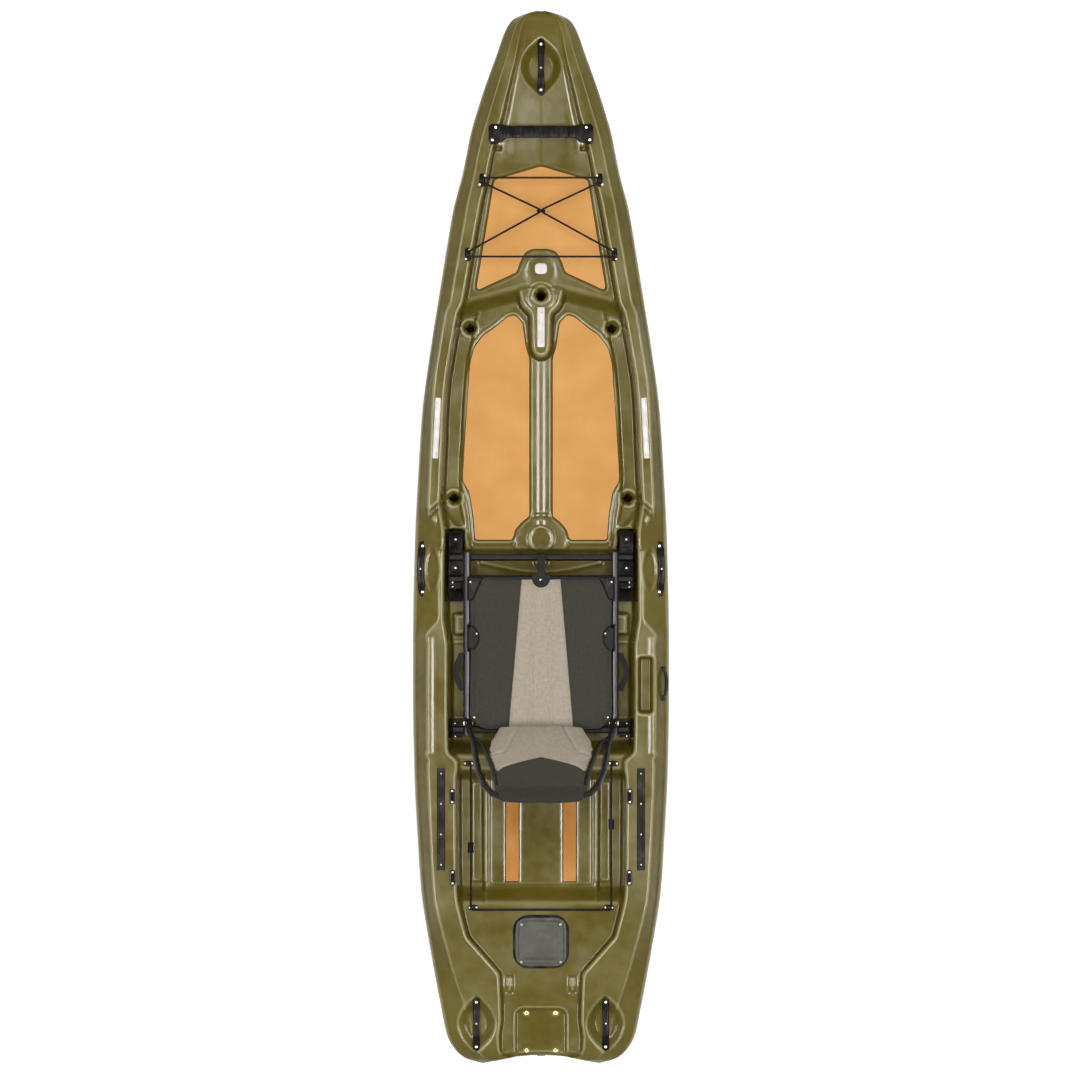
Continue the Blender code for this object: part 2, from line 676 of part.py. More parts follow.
def build_hull(material):
    """The rotomoulded hull: a hollow shell with its wells, recesses, drains and console."""
    skin = bmesh.new()
    add_loft(skin, [hull_ring(place, 0.0) for place in hull_stations()], fan_ends=True)
    bmesh.ops.triangulate(skin, faces=skin.faces)
    hull = mesh_object("hull", skin, material)

    room = bmesh.new()
    add_loft(room, [hull_ring(place, HULL_WALL) for place in cavity_stations()])
    bmesh.ops.triangulate(room, faces=room.faces)
    cavity = cutter("hull_cavity", room)

    kept = bmesh.new()
    for low, high in hull_recess_outlines(HULL_WALL):
        add_prism(kept, low, high)
    combine(cavity, cutter("recess_walls", kept))
    tubes = bmesh.new()
    for buttock, station, bore in SCUPPERS:
        x, y = buttock * BUTTOCK, station * STATION
        add_cylinder(tubes, Vector((x, y, BELOW_ALL)), Vector((x, y, ABOVE_ALL)),
                     bore + HULL_WALL, 12)
    for x, y in insert_places():
        low = Vector((x, y, MOUNT_RECESS_FLOOR - INSERT_DEPTH - INSERT_BOSS))
        add_cylinder(tubes, low, Vector((x, y, ABOVE_ALL)), INSERT_RADIUS + INSERT_BOSS, 12)
    combine(cavity, cutter("drain_walls", tubes))
    combine(hull, cavity)

    recess = bmesh.new()
    for low, high in hull_recess_outlines(0.0):
        add_prism(recess, low, high)
    combine(hull, cutter("recesses", recess))

    console = bmesh.new()
    outline = mirrored_outline([(x * BUTTOCK, y * STATION) for x, y in CONSOLE_OUTLINE])
    base = deck(10) - 0.8 * HULL_WALL
    add_prism(console, [Vector((x, y, base)) for x, y in outline],
              [Vector((0.94 * x, y, CONSOLE_TOP)) for x, y in outline])
    bmesh.ops.triangulate(console, faces=console.faces)
    combine(hull, cutter("console", console), "UNION")

    holes = bmesh.new()
    for buttock, station, bore in SCUPPERS:
        x, y = buttock * BUTTOCK, station * STATION
        add_cylinder(holes, Vector((x, y, BELOW_ALL)), Vector((x, y, ABOVE_ALL)), bore, 12)
    for x, y in insert_places():
        low = Vector((x, y, MOUNT_RECESS_FLOOR - INSERT_DEPTH - FIT))
        add_cylinder(holes, low, Vector((x, y, ABOVE_ALL)), INSERT_RADIUS + FIT, 12)
    half_x = HATCH_WIDTH / 2 - HATCH_RIM
    half_y = HATCH_LENGTH / 2 - HATCH_RIM
    outline = rounded_rectangle(half_x, half_y, HATCH_CORNER - HATCH_RIM, 3)
    place = (0.0, HATCH_STATION * STATION)
    level = deck(HATCH_STATION)
    add_prism(holes, flat_ring(outline, level - 0.03, place), flat_ring(outline, ABOVE_ALL, place))
    stern = drain_place()
    inward = Vector((0.0, 1.0, 0.0))
    seat = DRAIN_FLANGE_RADIUS + DRAIN_SEAT_MARGIN
    bore = DRAIN_RADIUS + 2 * FIT
    add_loft(holes, [round_ring(stern + reach * inward, radius)
                     for reach, radius in ((-0.05, seat), (0.0, seat), (0.0, bore), (0.09, bore))])
    combine(hull, cutter("holes", holes))
    return hull


def round_ring(centre, radius, sides=16):
    """A circle of points that faces along the hull."""
    angles = [math.tau * (i + 0.5) / sides for i in range(sides)]
    return [centre + radius * Vector((math.cos(a), 0.0, math.sin(a))) for a in angles]


def drain_place():
    """Centre of the drain plug on the stern's skin."""
    stern = -HULL_LENGTH / 2 + STERN_HOLLOW
    return Vector((0.0, stern, DRAIN_HEIGHT))


def build_drain_plug(material):
    """The screw-in drain plug, with its flange outside the stern."""
    place = drain_place()
    inward = Vector((0.0, 1.0, 0.0))
    shape = bmesh.new()
    add_cylinder(shape, place - (DRAIN_FLANGE + FIT) * inward, place - FIT * inward,
                 DRAIN_FLANGE_RADIUS, 16)
    plug = smooth_round(mesh_object("drain_plug", shape, material))
    stem = bmesh.new()
    add_cylinder(stem, place - 0.5 * DRAIN_FLANGE * inward, place + DRAIN_LENGTH * inward,
                 DRAIN_RADIUS, 12)
    grip = bmesh.new()
    bar = rounded_rectangle(0.013, 0.003, 0.002, 2)
    outer = place.y - DRAIN_FLANGE - 0.006
    low = [Vector((x, outer, place.z + y)) for x, y in bar]
    high = [Vector((x, place.y - 0.5 * DRAIN_FLANGE, place.z + y)) for x, y in bar]
    add_prism(grip, low, high)
    combine(plug, cutter("drain_stem", stem), "UNION")
    combine(plug, cutter("drain_grip", grip), "UNION")
    return plug


def pad_object(name, outline, height, material):
    """A flat foam pad lying on the deck at the height that a function gives."""
    low = [Vector((x, y, height(y) + FIT)) for x, y in outline]
    high = [point + Vector((0.0, 0.0, PAD_THICKNESS)) for point in low]
    shape = bmesh.new()
    add_prism(shape, low, high)
    return mesh_object(name, shape, material)


def build_pads(material):
    """Foam pads on the front deck, the standing deck and the tankwell floor."""
    def front_level(y):
        return deck(y / STATION)

    def deck_level(_):
        return deck(10)

    def tank_level(_):
        return deck(-28)

    outline = mirrored_outline([(x * BUTTOCK, y * STATION) for x, y in FRONT_PAD_OUTLINE])
    pad_object("front_deck_pad", outline, front_level, material)
    inner = TANKWELL_PAD_INNER * BUTTOCK
    for name, side in SIDES:
        outline = [(side * x * BUTTOCK, y * STATION) for x, y in STANDING_PAD_OUTLINE]
        pad_object(f"standing_pad_{name}", outline, deck_level, material)
        strip = [(side * inner, TANKWELL_PAD_FRONT * STATION),
                 (side * (inner + TANKWELL_PAD_WIDTH), TANKWELL_PAD_FRONT * STATION),
                 (side * (inner + TANKWELL_PAD_WIDTH), TANKWELL_PAD_REAR * STATION),
                 (side * inner, TANKWELL_PAD_REAR * STATION)]
        pad_object(f"tankwell_pad_{name}", strip, tank_level, material)


def track_object(name, centre, width, length, angle, material):
    """A gear track: a bar with a slot along its top."""
    half_w, half_l, half_s = width / 2, length / 2, TRACK_SLOT / 2
    floor = TRACK_HEIGHT - TRACK_SLOT_DEPTH
    profile = [(-half_w, 0.0), (half_w, 0.0), (half_w, TRACK_HEIGHT), (half_s, TRACK_HEIGHT),
               (half_s, floor), (-half_s, floor), (-half_s, TRACK_HEIGHT), (-half_w, TRACK_HEIGHT)]
    turn = Matrix.Rotation(angle, 4, "Z")
    rings = []
    for along in (-half_l, half_l):
        rings.append([centre + turn @ Vector((x, along, z + FIT)) for x, z in profile])
    shape = bmesh.new()
    add_loft(shape, rings)
    return mesh_object(name, shape, material)


def build_tracks(white, black):
    """Gear tracks on the console, beside the standing deck and beside the tankwell."""
    centre = Vector((0.0, CENTRE_TRACK_STATION * STATION, CONSOLE_TOP))
    track_object("gear_track_centre", centre, CENTRE_TRACK_WIDTH, CENTRE_TRACK_LENGTH, 0.0, white)
    reach = SIDE_TRACK_LENGTH / 2 / STATION
    fore, aft = wall_line(SIDE_TRACK_STATION + reach), wall_line(SIDE_TRACK_STATION - reach)
    for name, side in SIDES:
        angle = side * math.atan2(aft - fore, SIDE_TRACK_LENGTH)
        x = side * ((fore + aft) / 2 + 0.5 * skin_values(SIDE_TRACK_STATION)["ledge"] + 0.002)
        centre = Vector((x, SIDE_TRACK_STATION * STATION, crown(SIDE_TRACK_STATION)))
        track_object(f"gear_track_side_{name}", centre, SIDE_TRACK_WIDTH, SIDE_TRACK_LENGTH,
                     angle, white)
        x = side * (wall_line(REAR_TRACK_STATION) + REAR_TRACK_OFFSET)
        centre = Vector((x, REAR_TRACK_STATION * STATION, crown(REAR_TRACK_STATION)))
        track_object(f"gear_track_rear_{name}", centre, REAR_TRACK_WIDTH, REAR_TRACK_LENGTH,
                     0.0, black)


def laid_strip(stops, base, section):
    """Rings of a strip that follows a surface: base gives its place and tilt at each stop."""
    rings = []
    for stop in stops:
        place, tilt = base(stop)
        turn = Matrix.Rotation(tilt, 4, "Y")
        rings.append([place + turn @ Vector((x, 0.0, z)) for x, z in section(stop)])
    return rings


def handle_object(name, length, base, bow, material):
    """A moulded grab handle: two feet on the deck and an arched grip between them."""
    half = length / 2
    foot = HANDLE_FOOT / half

    def section(t):
        arch = max(1 - (t / (1 - foot)) ** 2, 0.0)
        low = FIT + HANDLE_RISE * arch ** 0.7
        high = low + HANDLE_THICKNESS
        centre = bow * (1 - t * t)
        width = HANDLE_WIDTH * (0.5 if abs(t) == 1.0 else 1.0) / 2
        return [(centre - width, low), (centre + width, low), (centre + width, high - 0.0015),
                (centre + 0.6 * width, high), (centre - 0.6 * width, high),
                (centre - width, high - 0.0015)]

    stops = (-1.0, -0.97, -1 + foot, -0.6, -0.3, 0.0, 0.3, 0.6, 1 - foot, 0.97, 1.0)
    shape = bmesh.new()
    add_loft(shape, laid_strip(stops, base, section))
    return smooth_round(mesh_object(name, shape, material), 50)


def build_handles(material):
    """Carry handles at the bow, the sides and the stern."""
    def bow_base(t):
        y = BOW_HANDLE_STATION * STATION + t * HANDLE_LENGTH / 2
        station = y / STATION
        return Vector((0.0, y, deck(station) + skin_values(station)["crest"])), 0.0

    handle_object("bow_handle", HANDLE_LENGTH, bow_base, 0.0, material)
    for name, side in SIDES:
        def side_base(t):
            y = SIDE_HANDLE_STATION * STATION + t * HANDLE_LENGTH / 2
            x, z, tilt = slope_point(y / STATION, side_handle_share())
            lift = SLOPE_CLEARANCE
            return (Vector((side * (x + lift * math.sin(tilt)), y, z + lift * math.cos(tilt))),
                    side * tilt)

        def stern_base(t):
            y = STERN_HANDLE_STATION * STATION + t * STERN_HANDLE_LENGTH / 2
            return Vector((side * STERN_HANDLE_BUTTOCK * BUTTOCK, y, crown(y / STATION))), 0.0

        handle_object(f"side_handle_{name}", HANDLE_LENGTH, side_base, side * SIDE_HANDLE_BOW,
                      material)
        handle_object(f"stern_handle_{name}", STERN_HANDLE_LENGTH, stern_base, 0.0, material)


def build_gear_strap(material):
    """The ribbed rubber strap that spans the bow deck between the gunwales."""
    station = GEAR_STRAP_STATION
    reach = wall_line(station) + GEAR_STRAP_OVERLAP
    y = station * STATION
    pitch = (crown(station + 1) - crown(station - 1)) / (2 * STATION)
    ribs = 8
    flat = wall_line(station) + 0.004
    places = [(-reach, GEAR_STRAP_END_WIDTH, 0.0), (-flat, GEAR_STRAP_END_WIDTH, 0.0)]
    span = 2 * (flat - 0.012)
    for i in range(ribs * 2 + 1):
        x = -span / 2 + span * i / (ribs * 2)
        places.append((x, GEAR_STRAP_WIDTH, 0.0015 if i % 2 else 0.0))
    places += [(flat, GEAR_STRAP_END_WIDTH, 0.0), (reach, GEAR_STRAP_END_WIDTH, 0.0)]
    rings = []
    for x, width, rib in places:
        rise = GEAR_STRAP_RISE * max(1 - (x / flat) ** 2, 0.0)
        ring = []
        for across, up in ((-0.5, 0.0), (0.5, 0.0), (0.5, GEAR_STRAP_THICKNESS + rib),
                           (-0.5, GEAR_STRAP_THICKNESS + rib)):
            height = crown(station) + pitch * across * width + FIT + rise + up
            ring.append(Vector((x, y + across * width, height)))
        rings.append(ring)
    shape = bmesh.new()
    add_loft(shape, rings)
    return mesh_object("bow_gear_strap", shape, material)


def deck_hook(name, place, level, length, angle, material):
    """A lashing hook: a base plate on the deck, a post for the cord and a cap over it."""
    turn = Matrix.Rotation(angle, 4, "Z")
    plate = rounded_rectangle(HOOK_WIDTH / 2, length / 2, HOOK_WIDTH / 2 - 0.001, 3)
    low = []
    for x, y in plate:
        spot = turn @ Vector((x, y, 0.0)) + Vector((place[0], place[1], 0.0))
        low.append(Vector((spot.x, spot.y, level(spot.y) + FIT)))
    high = [point + Vector((0.0, 0.0, HOOK_PLATE)) for point in low]
    shape = bmesh.new()
    add_prism(shape, low, high)
    base = level(place[1])
    foot = Vector((place[0], place[1], base + 0.5 * HOOK_PLATE))
    neck = base + CORD_LIFT + CORD_RADIUS + FIT
    hook = mesh_object(name, shape, material)
    post = bmesh.new()
    add_cylinder(post, foot, Vector((place[0], place[1], neck + 0.001)), POST_RADIUS, 10)
    cap = bmesh.new()
    start = Vector((place[0], place[1], neck))
    add_cylinder(cap, start, start + Vector((0, 0, 0.003)), HOOK_CAP_RADIUS, 10, 0.006)
    combine(hook, cutter(f"{name}_post", post), "UNION")
    combine(hook, cutter(f"{name}_cap", cap), "UNION")
    return hook


def bow_hook_place(station, side):
    """Plan position of a bow lashing hook, on the gunwale's ledge."""
    return side * (wall_line(station) + BOW_HOOK_INSET), station * STATION


def arc_round(centre, start, end, radius, turn, steps=4):
    """Points on an arc round a post, from the bearing of one point to that of another."""
    first = math.atan2(start[1], start[0])
    last = math.atan2(end[1], end[0])
    while (last - first) * turn < 0:
        last += turn * math.tau
    return [(centre[0] + radius * math.cos(first + (last - first) * i / steps),
             centre[1] + radius * math.sin(first + (last - first) * i / steps))
            for i in range(steps + 1)]


def belt_route(posts, radius):
    """Closed route of a taut cord round posts, each with its height and turn: 1 is left-hand."""
    count = len(posts)
    tangents = []
    for i in range(count):
        (ax, ay, _, turn_a), (bx, by, _, turn_b) = posts[i], posts[(i + 1) % count]
        bearing = math.atan2(by - ay, bx - ax)
        distance = math.hypot(bx - ax, by - ay)
        lean = math.asin((turn_b - turn_a) * radius / distance) if turn_a != turn_b else 0.0
        heading = bearing + lean
        tangents.append(((math.sin(heading) * turn_a, -math.cos(heading) * turn_a),
                         (math.sin(heading) * turn_b, -math.cos(heading) * turn_b)))
    route = []
    for i, (x, y, z, turn) in enumerate(posts):
        arriving = tangents[i - 1][1]
        leaving = tangents[i][0]
        arc = arc_round((x, y), arriving, leaving, radius, turn)
        route += [Vector((px, py, z)) for px, py in arc]
        following = posts[(i + 1) % count]
        end = Vector((following[0], following[1], following[2]))
        start = route[-1]
        nx, ny = tangents[i][1]
        end = Vector((end.x + radius * nx, end.y + radius * ny, end.z))
        route.append(start.lerp(end, 0.5))
    return route


def cord_height(station):
    """Height of a taut cord where it leaves a hook on the gunwale."""
    return crown(station) + CORD_LIFT


def clip_height():
    """Height of the cords where the two bow loops meet."""
    high, low = (cord_height(station) for station in BOW_HOOK_STATIONS)
    return (high + low) / 2


def build_bow_cord(black, cord):
    """Lashing hooks, cord and centre clip over the front deck pad."""
    def ledge_level(y):
        return crown(y / STATION)

    for label, station in zip(("front", "rear"), BOW_HOOK_STATIONS):
        for name, side in SIDES:
            lean = wall_line(station - 0.5) - wall_line(station + 0.5)
            angle = side * math.atan2(lean, STATION)
            deck_hook(f"bow_hook_{label}_{name}", bow_hook_place(station, side), ledge_level,
                      HOOK_LENGTH, angle, black)
    front, rear = BOW_HOOK_STATIONS
    clip_y = CLIP_STATION * STATION
    middle = clip_height()
    posts = [
        (*bow_hook_place(front, -1), cord_height(front), -1),
        (*bow_hook_place(front, 1), cord_height(front), -1),
        (CLIP_REACH, clip_y, middle, 1),
        (*bow_hook_place(rear, 1), cord_height(rear), -1),
        (*bow_hook_place(rear, -1), cord_height(rear), -1),
        (-CLIP_REACH, clip_y, middle, 1),
    ]
    route = belt_route(posts, POST_RADIUS + FIT + CORD_RADIUS)
    shape = bmesh.new()
    add_tube(shape, route, CORD_RADIUS, 8, closed=True)
    smooth_round(mesh_object("bow_shock_cord", shape, cord))

    plate = rounded_rectangle(CLIP_REACH + POST_RADIUS, POST_RADIUS + 0.001, POST_RADIUS, 3)
    base = middle - CORD_RADIUS - FIT - 0.002
    shape = bmesh.new()
    add_prism(shape, flat_ring(plate, base, (0.0, clip_y)),
              flat_ring(plate, base + 0.002, (0.0, clip_y)))
    clip = mesh_object("bow_cord_clip", shape, black)
    pegs = bmesh.new()
    for side in (-1, 1):
        foot = Vector((side * CLIP_REACH, clip_y, base + 0.001))
        top = Vector((side * CLIP_REACH, clip_y, middle + CORD_RADIUS + 0.002))
        add_cylinder(pegs, foot, top, POST_RADIUS, 10)
    combine(clip, cutter("clip_pegs", pegs), "UNION")


def tank_cord_line(side):
    """Start and end of the straight side run of the tankwell cord."""
    x = side * (CORNER_BUTTOCK * BUTTOCK - POST_RADIUS - FIT - CORD_RADIUS)
    front = Vector((x, CORNER_FRONT_STATION * STATION, deck(CORNER_FRONT_STATION) + CORD_LIFT))
    rear = Vector((x, CORNER_REAR_STATION * STATION, deck(CORNER_REAR_STATION) + CORD_LIFT))
    return front, rear


def build_tank_cord(black, cord):
    """Corner fittings, cord and sliding hooks of the tankwell."""
    def bulkhead_level(_):
        return deck(CORNER_FRONT_STATION)

    def rear_level(_):
        return deck(CORNER_REAR_STATION)

    x = CORNER_BUTTOCK * BUTTOCK
    radius = POST_RADIUS + FIT + CORD_RADIUS
    for name, side in SIDES:
        place = (side * x, CORNER_FRONT_STATION * STATION)
        deck_hook(f"tankwell_hook_front_{name}", place, bulkhead_level, 0.034, math.pi / 2, black)
        place = (side * (x - 2 * radius), CORNER_REAR_STATION * STATION)
        deck_hook(f"tankwell_hook_rear_{name}", place, rear_level, 0.034, math.pi / 2, black)
    front, rear = tank_cord_line(-1)
    corner = (-(x - 2 * radius), CORNER_REAR_STATION * STATION)
    half = [front.lerp(rear, share) for share in (0.0, 0.33, 0.67)]
    arc = arc_round(corner, (-1, 0), (0, -1), radius, 1)
    half += [Vector((px, py, rear.z)) for px, py in arc]
    half.append(Vector((0.5 * corner[0], corner[1] - radius, rear.z)))
    other = [Vector((-p.x, p.y, p.z)) for p in reversed(half)]
    knot = [Vector((0.0, corner[1] - radius, rear.z))]
    shape = bmesh.new()
    add_tube(shape, half + knot + other, CORD_RADIUS, 8)
    smooth_round(mesh_object("tankwell_shock_cord", shape, cord))

    for (name, side), station in zip(SIDES, CORD_HOOK_STATIONS):
        front, rear = tank_cord_line(side)
        heading = (rear - front).normalized()
        share = (station - CORNER_FRONT_STATION) / (CORNER_REAR_STATION - CORNER_FRONT_STATION)
        centre = front.lerp(rear, share)
        across = Vector((1.0, 0.0, 0.0))
        up = across.cross(heading)
        outline = rounded_rectangle(CORD_HOOK_WIDTH / 2, 0.0065, 0.004, 2)
        rings = []
        for end in (-0.5, 0.5):
            middle = centre + end * CORD_HOOK_LENGTH * heading
            rings.append([middle + px * across + py * up for px, py in outline])
        shape = bmesh.new()
        add_loft(shape, rings)
        hook = mesh_object(f"cord_hook_{name}", shape, black)
        bore = bmesh.new()
        add_cylinder(bore, centre - 0.03 * heading, centre + 0.03 * heading, CORD_RADIUS + FIT, 10)
        combine(hook, cutter(f"cord_hook_{name}_bore", bore))


def build_pad_eyes(material):
    """Pad eyes on the gunwales beside the tankwell."""
    for label, station in zip(("front", "rear"), EYE_STATIONS):
        for name, side in SIDES:
            x = side * (wall_line(station) + EYE_OFFSET)
            y = station * STATION
            level = crown(station) + FIT
            outline = rounded_rectangle(EYE_BASE_WIDTH / 2, EYE_BASE_LENGTH / 2,
                                        EYE_BASE_WIDTH / 2 - 0.0005, 3)
            shape = bmesh.new()
            add_prism(shape, flat_ring(outline, level, (x, y)),
                      flat_ring(outline, level + EYE_BASE_THICKNESS, (x, y)))
            eye = smooth_round(mesh_object(f"pad_eye_{label}_{name}", shape, material))
            arch = bmesh.new()
            radius = EYE_BORE + EYE_ROD
            spring = level + EYE_BASE_THICKNESS
            path = [Vector((x, y - radius, spring - 0.002))]
            for i in range(7):
                angle = math.pi * i / 6
                path.append(Vector((x, y - radius * math.cos(angle),
                                    spring + 0.001 + radius * math.sin(angle))))
            path.append(Vector((x, y + radius, spring - 0.002)))
            add_tube(arch, path, EYE_ROD, 6)
            combine(eye, cutter(f"pad_eye_{label}_{name}_arch", arch), "UNION")


def build_hatch(cover_material, seal_material):
    """The screwed-down rear hatch cover on its seal."""
    place = (0.0, HATCH_STATION * STATION)
    level = deck(HATCH_STATION) + FIT
    half_x, half_y = HATCH_WIDTH / 2, HATCH_LENGTH / 2
    outer = rounded_rectangle(half_x + GASKET_MARGIN, half_y + GASKET_MARGIN,
                              HATCH_CORNER + GASKET_MARGIN, 5)
    inner = rounded_rectangle(half_x - HATCH_RIM, half_y - HATCH_RIM, HATCH_CORNER - HATCH_RIM, 5)
    shape = bmesh.new()
    rows = [
        [shape.verts.new(point) for point in flat_ring(outer, level, place)],
        [shape.verts.new(point) for point in flat_ring(outer, level + GASKET_THICKNESS, place)],
        [shape.verts.new(point) for point in flat_ring(inner, level + GASKET_THICKNESS, place)],
        [shape.verts.new(point) for point in flat_ring(inner, level, place)],
    ]
    for row, following in zip(rows, rows[1:] + rows[:1]):
        for i in range(len(row)):
            j = (i + 1) % len(row)
            shape.faces.new((row[i], row[j], following[j], following[i]))
    mesh_object("rear_hatch_seal", shape, seal_material)
    outline = rounded_rectangle(half_x, half_y, HATCH_CORNER, 5)
    lid = rounded_rectangle(half_x - 0.006, half_y - 0.006, HATCH_CORNER - 0.006, 5)
    base = level + GASKET_THICKNESS + FIT
    shape = bmesh.new()
    add_loft(shape, (flat_ring(outline, base, place),
                     flat_ring(outline, base + 0.6 * HATCH_THICKNESS, place),
                     flat_ring(lid, base + HATCH_THICKNESS, place)))
    mesh_object("rear_hatch_cover", shape, cover_material)


def build_inserts(material):
    """Threaded brass inserts in the floor of the rear mount recess."""
    for index, (x, y) in enumerate(insert_places(), start=1):
        low = Vector((x, y, MOUNT_RECESS_FLOOR - INSERT_DEPTH))
        top = Vector((x, y, MOUNT_RECESS_FLOOR - FIT))
        shape = bmesh.new()
        add_cylinder(shape, low, top, INSERT_RADIUS, 12)
        insert = smooth_round(mesh_object(f"rear_insert_{index}", shape, material))
        thread = bmesh.new()
        add_cylinder(thread, low + Vector((0, 0, 0.003)), top + Vector((0, 0, 0.02)), INSERT_THREAD, 10)
        combine(insert, cutter(f"rear_insert_{index}_thread", thread))


def build_paddle_keeper(material):
    """The elastic strap on the starboard slope that holds a paddle."""
    station = KEEPER_STATION
    inner, outer = gunwale_slope(station, 0.0)
    share = 1 - KEEPER_OUT / math.hypot(outer[0] - inner[0], outer[1] - inner[1])

    def base(t):
        y = station * STATION + t * KEEPER_LENGTH / 2
        x, z, tilt = slope_point(y / STATION, share)
        return Vector((x, y, z)), tilt

    def section(t):
        low = KEEPER_CLEARANCE + FIT + KEEPER_RISE * max(1 - (t / 0.82) ** 2, 0.0) ** 0.6
        width = KEEPER_WIDTH / 2
        return [(-width, low), (width, low), (width, low + KEEPER_THICKNESS),
                (-width, low + KEEPER_THICKNESS)]

    shape = bmesh.new()
    stops = (-1.0, -0.82, -0.7, -0.45, -0.15, 0.15, 0.45, 0.7, 0.82, 1.0)
    add_loft(shape, laid_strip(stops, base, section))
    return mesh_object("paddle_keeper", shape, material)


def cross_tube_height():
    """Height of the seat's cross tubes, welded under its side rails."""
    return SEAT_RAIL_HEIGHT - 2 * SEAT_TUBE + CROSS_TUBE_OVERLAP


def saddle_object(name, side, inner, outer, profile, material):
    """A seat saddle: a side profile in Y and Z drawn across X."""
    shape = bmesh.new()
    add_loft(shape, [[Vector((side * x, y, z)) for y, z in profile] for x in (inner, outer)])
    return mesh_object(name, shape, material)


def slot_points(y):
    """Round-bottomed slot for a cross tube, from its front lip to its rear lip."""
    height = cross_tube_height()
    radius = SEAT_TUBE + FIT
    lip = height + SADDLE_LIP
    points = [(y + radius, lip)]
    for i in range(7):
        angle = math.pi * i / 6
        points.append((y + radius * math.cos(angle), height - radius * math.sin(angle)))
    points.append((y - radius, lip))
    return points


def build_saddles(material):
    """Moulded saddles that hold the seat's cross tubes in the seat well."""
    floor = deck(-5) + 0.0005 + FIT
    lip = cross_tube_height() + SADDLE_LIP
    first = FRONT_TUBE_STATION * STATION
    second = first - SECOND_TUBE_GAP
    third = first - REAR_TUBE_GAP
    inner = SEAT_HALF_WIDTH + SEAT_TUBE + SADDLE_GAP
    outer = wall_line(first / STATION) - WALL_DRAFT - SADDLE_WALL_GAP
    rear_outer = wall_line(third / STATION) - WALL_DRAFT - SADDLE_WALL_GAP
    for name, side in SIDES:
        profile = [(first + FRONT_SADDLE_NOSE, floor), (first + FRONT_SADDLE_NOSE, lip)]
        profile += slot_points(first) + slot_points(second)
        profile += [(second - FRONT_SADDLE_FOOT * 0.7, lip), (second - FRONT_SADDLE_FOOT, floor + 0.05),
                    (first - FRONT_SADDLE_TAIL, floor + 0.045), (first - FRONT_SADDLE_TAIL, floor)]
        saddle_object(f"front_saddle_{name}", side, inner, outer, profile, material)
        half = REAR_SADDLE_HALF_LENGTH
        profile = [(third + half, floor), (third + 0.8 * half, lip)] + slot_points(third)
        profile += [(third - 0.8 * half, lip), (third - half, floor)]
        saddle_object(f"rear_saddle_{name}", side, inner, rear_outer, profile, material)


def back_pivot():
    """Height and place along the hull of the backrest's hinge."""
    return FRONT_TUBE_STATION * STATION - BACK_PIVOT_GAP, SEAT_RAIL_HEIGHT + BACK_PIVOT_RISE


def back_hinge_x():
    """Distance from the centreline to the foot of the backrest's hoop, just inside its ear."""
    return SEAT_HALF_WIDTH + EAR_INSET - FIT - BACK_TUBE


def back_point(x, along, out):
    """A point of the backrest: across, up along it, and out of its front face."""
    y, z = back_pivot()
    return Vector((x,
                   y - along * math.sin(BACK_LEAN) + out * math.cos(BACK_LEAN),
                   z + along * math.cos(BACK_LEAN) + out * math.sin(BACK_LEAN)))


def build_seat_frame(material):
    """The seat's tube frame: side rails, three cross tubes and the backrest's hinge ears."""
    first = FRONT_TUBE_STATION * STATION
    rear = first - REAR_TUBE_GAP
    level = cross_tube_height()
    pivot_y, pivot_z = back_pivot()
    rails = bmesh.new()
    start = Vector((-SEAT_HALF_WIDTH, first + 0.016, SEAT_RAIL_HEIGHT))
    end = Vector((-SEAT_HALF_WIDTH, rear - 0.016, SEAT_RAIL_HEIGHT))
    add_tube(rails, [start, end], SEAT_TUBE, 12)
    frame = smooth_round(mesh_object("seat_frame", rails, material))
    parts = []
    other = bmesh.new()
    flip = Vector((-1, 1, 1))
    add_tube(other, [start * flip, end * flip], SEAT_TUBE, 12)
    parts.append(other)
    for y in (first, first - SECOND_TUBE_GAP, rear):
        station = y / STATION
        half = wall_line(station) - WALL_DRAFT - CROSS_TUBE_CLEARANCE
        tube = bmesh.new()
        add_tube(tube, [Vector((-half, y, level)), Vector((half, y, level))], SEAT_TUBE, 12)
        parts.append(tube)
    for side in (-1, 1):
        ear = bmesh.new()
        inner = SEAT_HALF_WIDTH + EAR_INSET
        outline = [(pivot_y - 0.020, SEAT_RAIL_HEIGHT - 0.004)]
        for i in range(7):
            angle = math.pi * (1 - i / 6)
            outline.append((pivot_y + EAR_RADIUS * math.cos(angle),
                            pivot_z + EAR_RADIUS * math.sin(angle)))
        outline.append((pivot_y + 0.020, SEAT_RAIL_HEIGHT - 0.004))
        add_loft(ear, [[Vector((side * x, y, z)) for y, z in outline]
                       for x in (inner, inner + EAR_THICKNESS)])
        parts.append(ear)
    for index, part in enumerate(parts):
        combine(frame, cutter(f"seat_frame_part_{index}", part), "UNION")
    bores = bmesh.new()
    for side in (-1, 1):
        centre = Vector((side * SEAT_HALF_WIDTH, pivot_y, pivot_z))
        add_cylinder(bores, centre - Vector((0.05, 0, 0)), centre + Vector((0.05, 0, 0)),
                     BOLT_RADIUS + FIT, 10)
    combine(frame, cutter("seat_frame_bores", bores))
    return frame


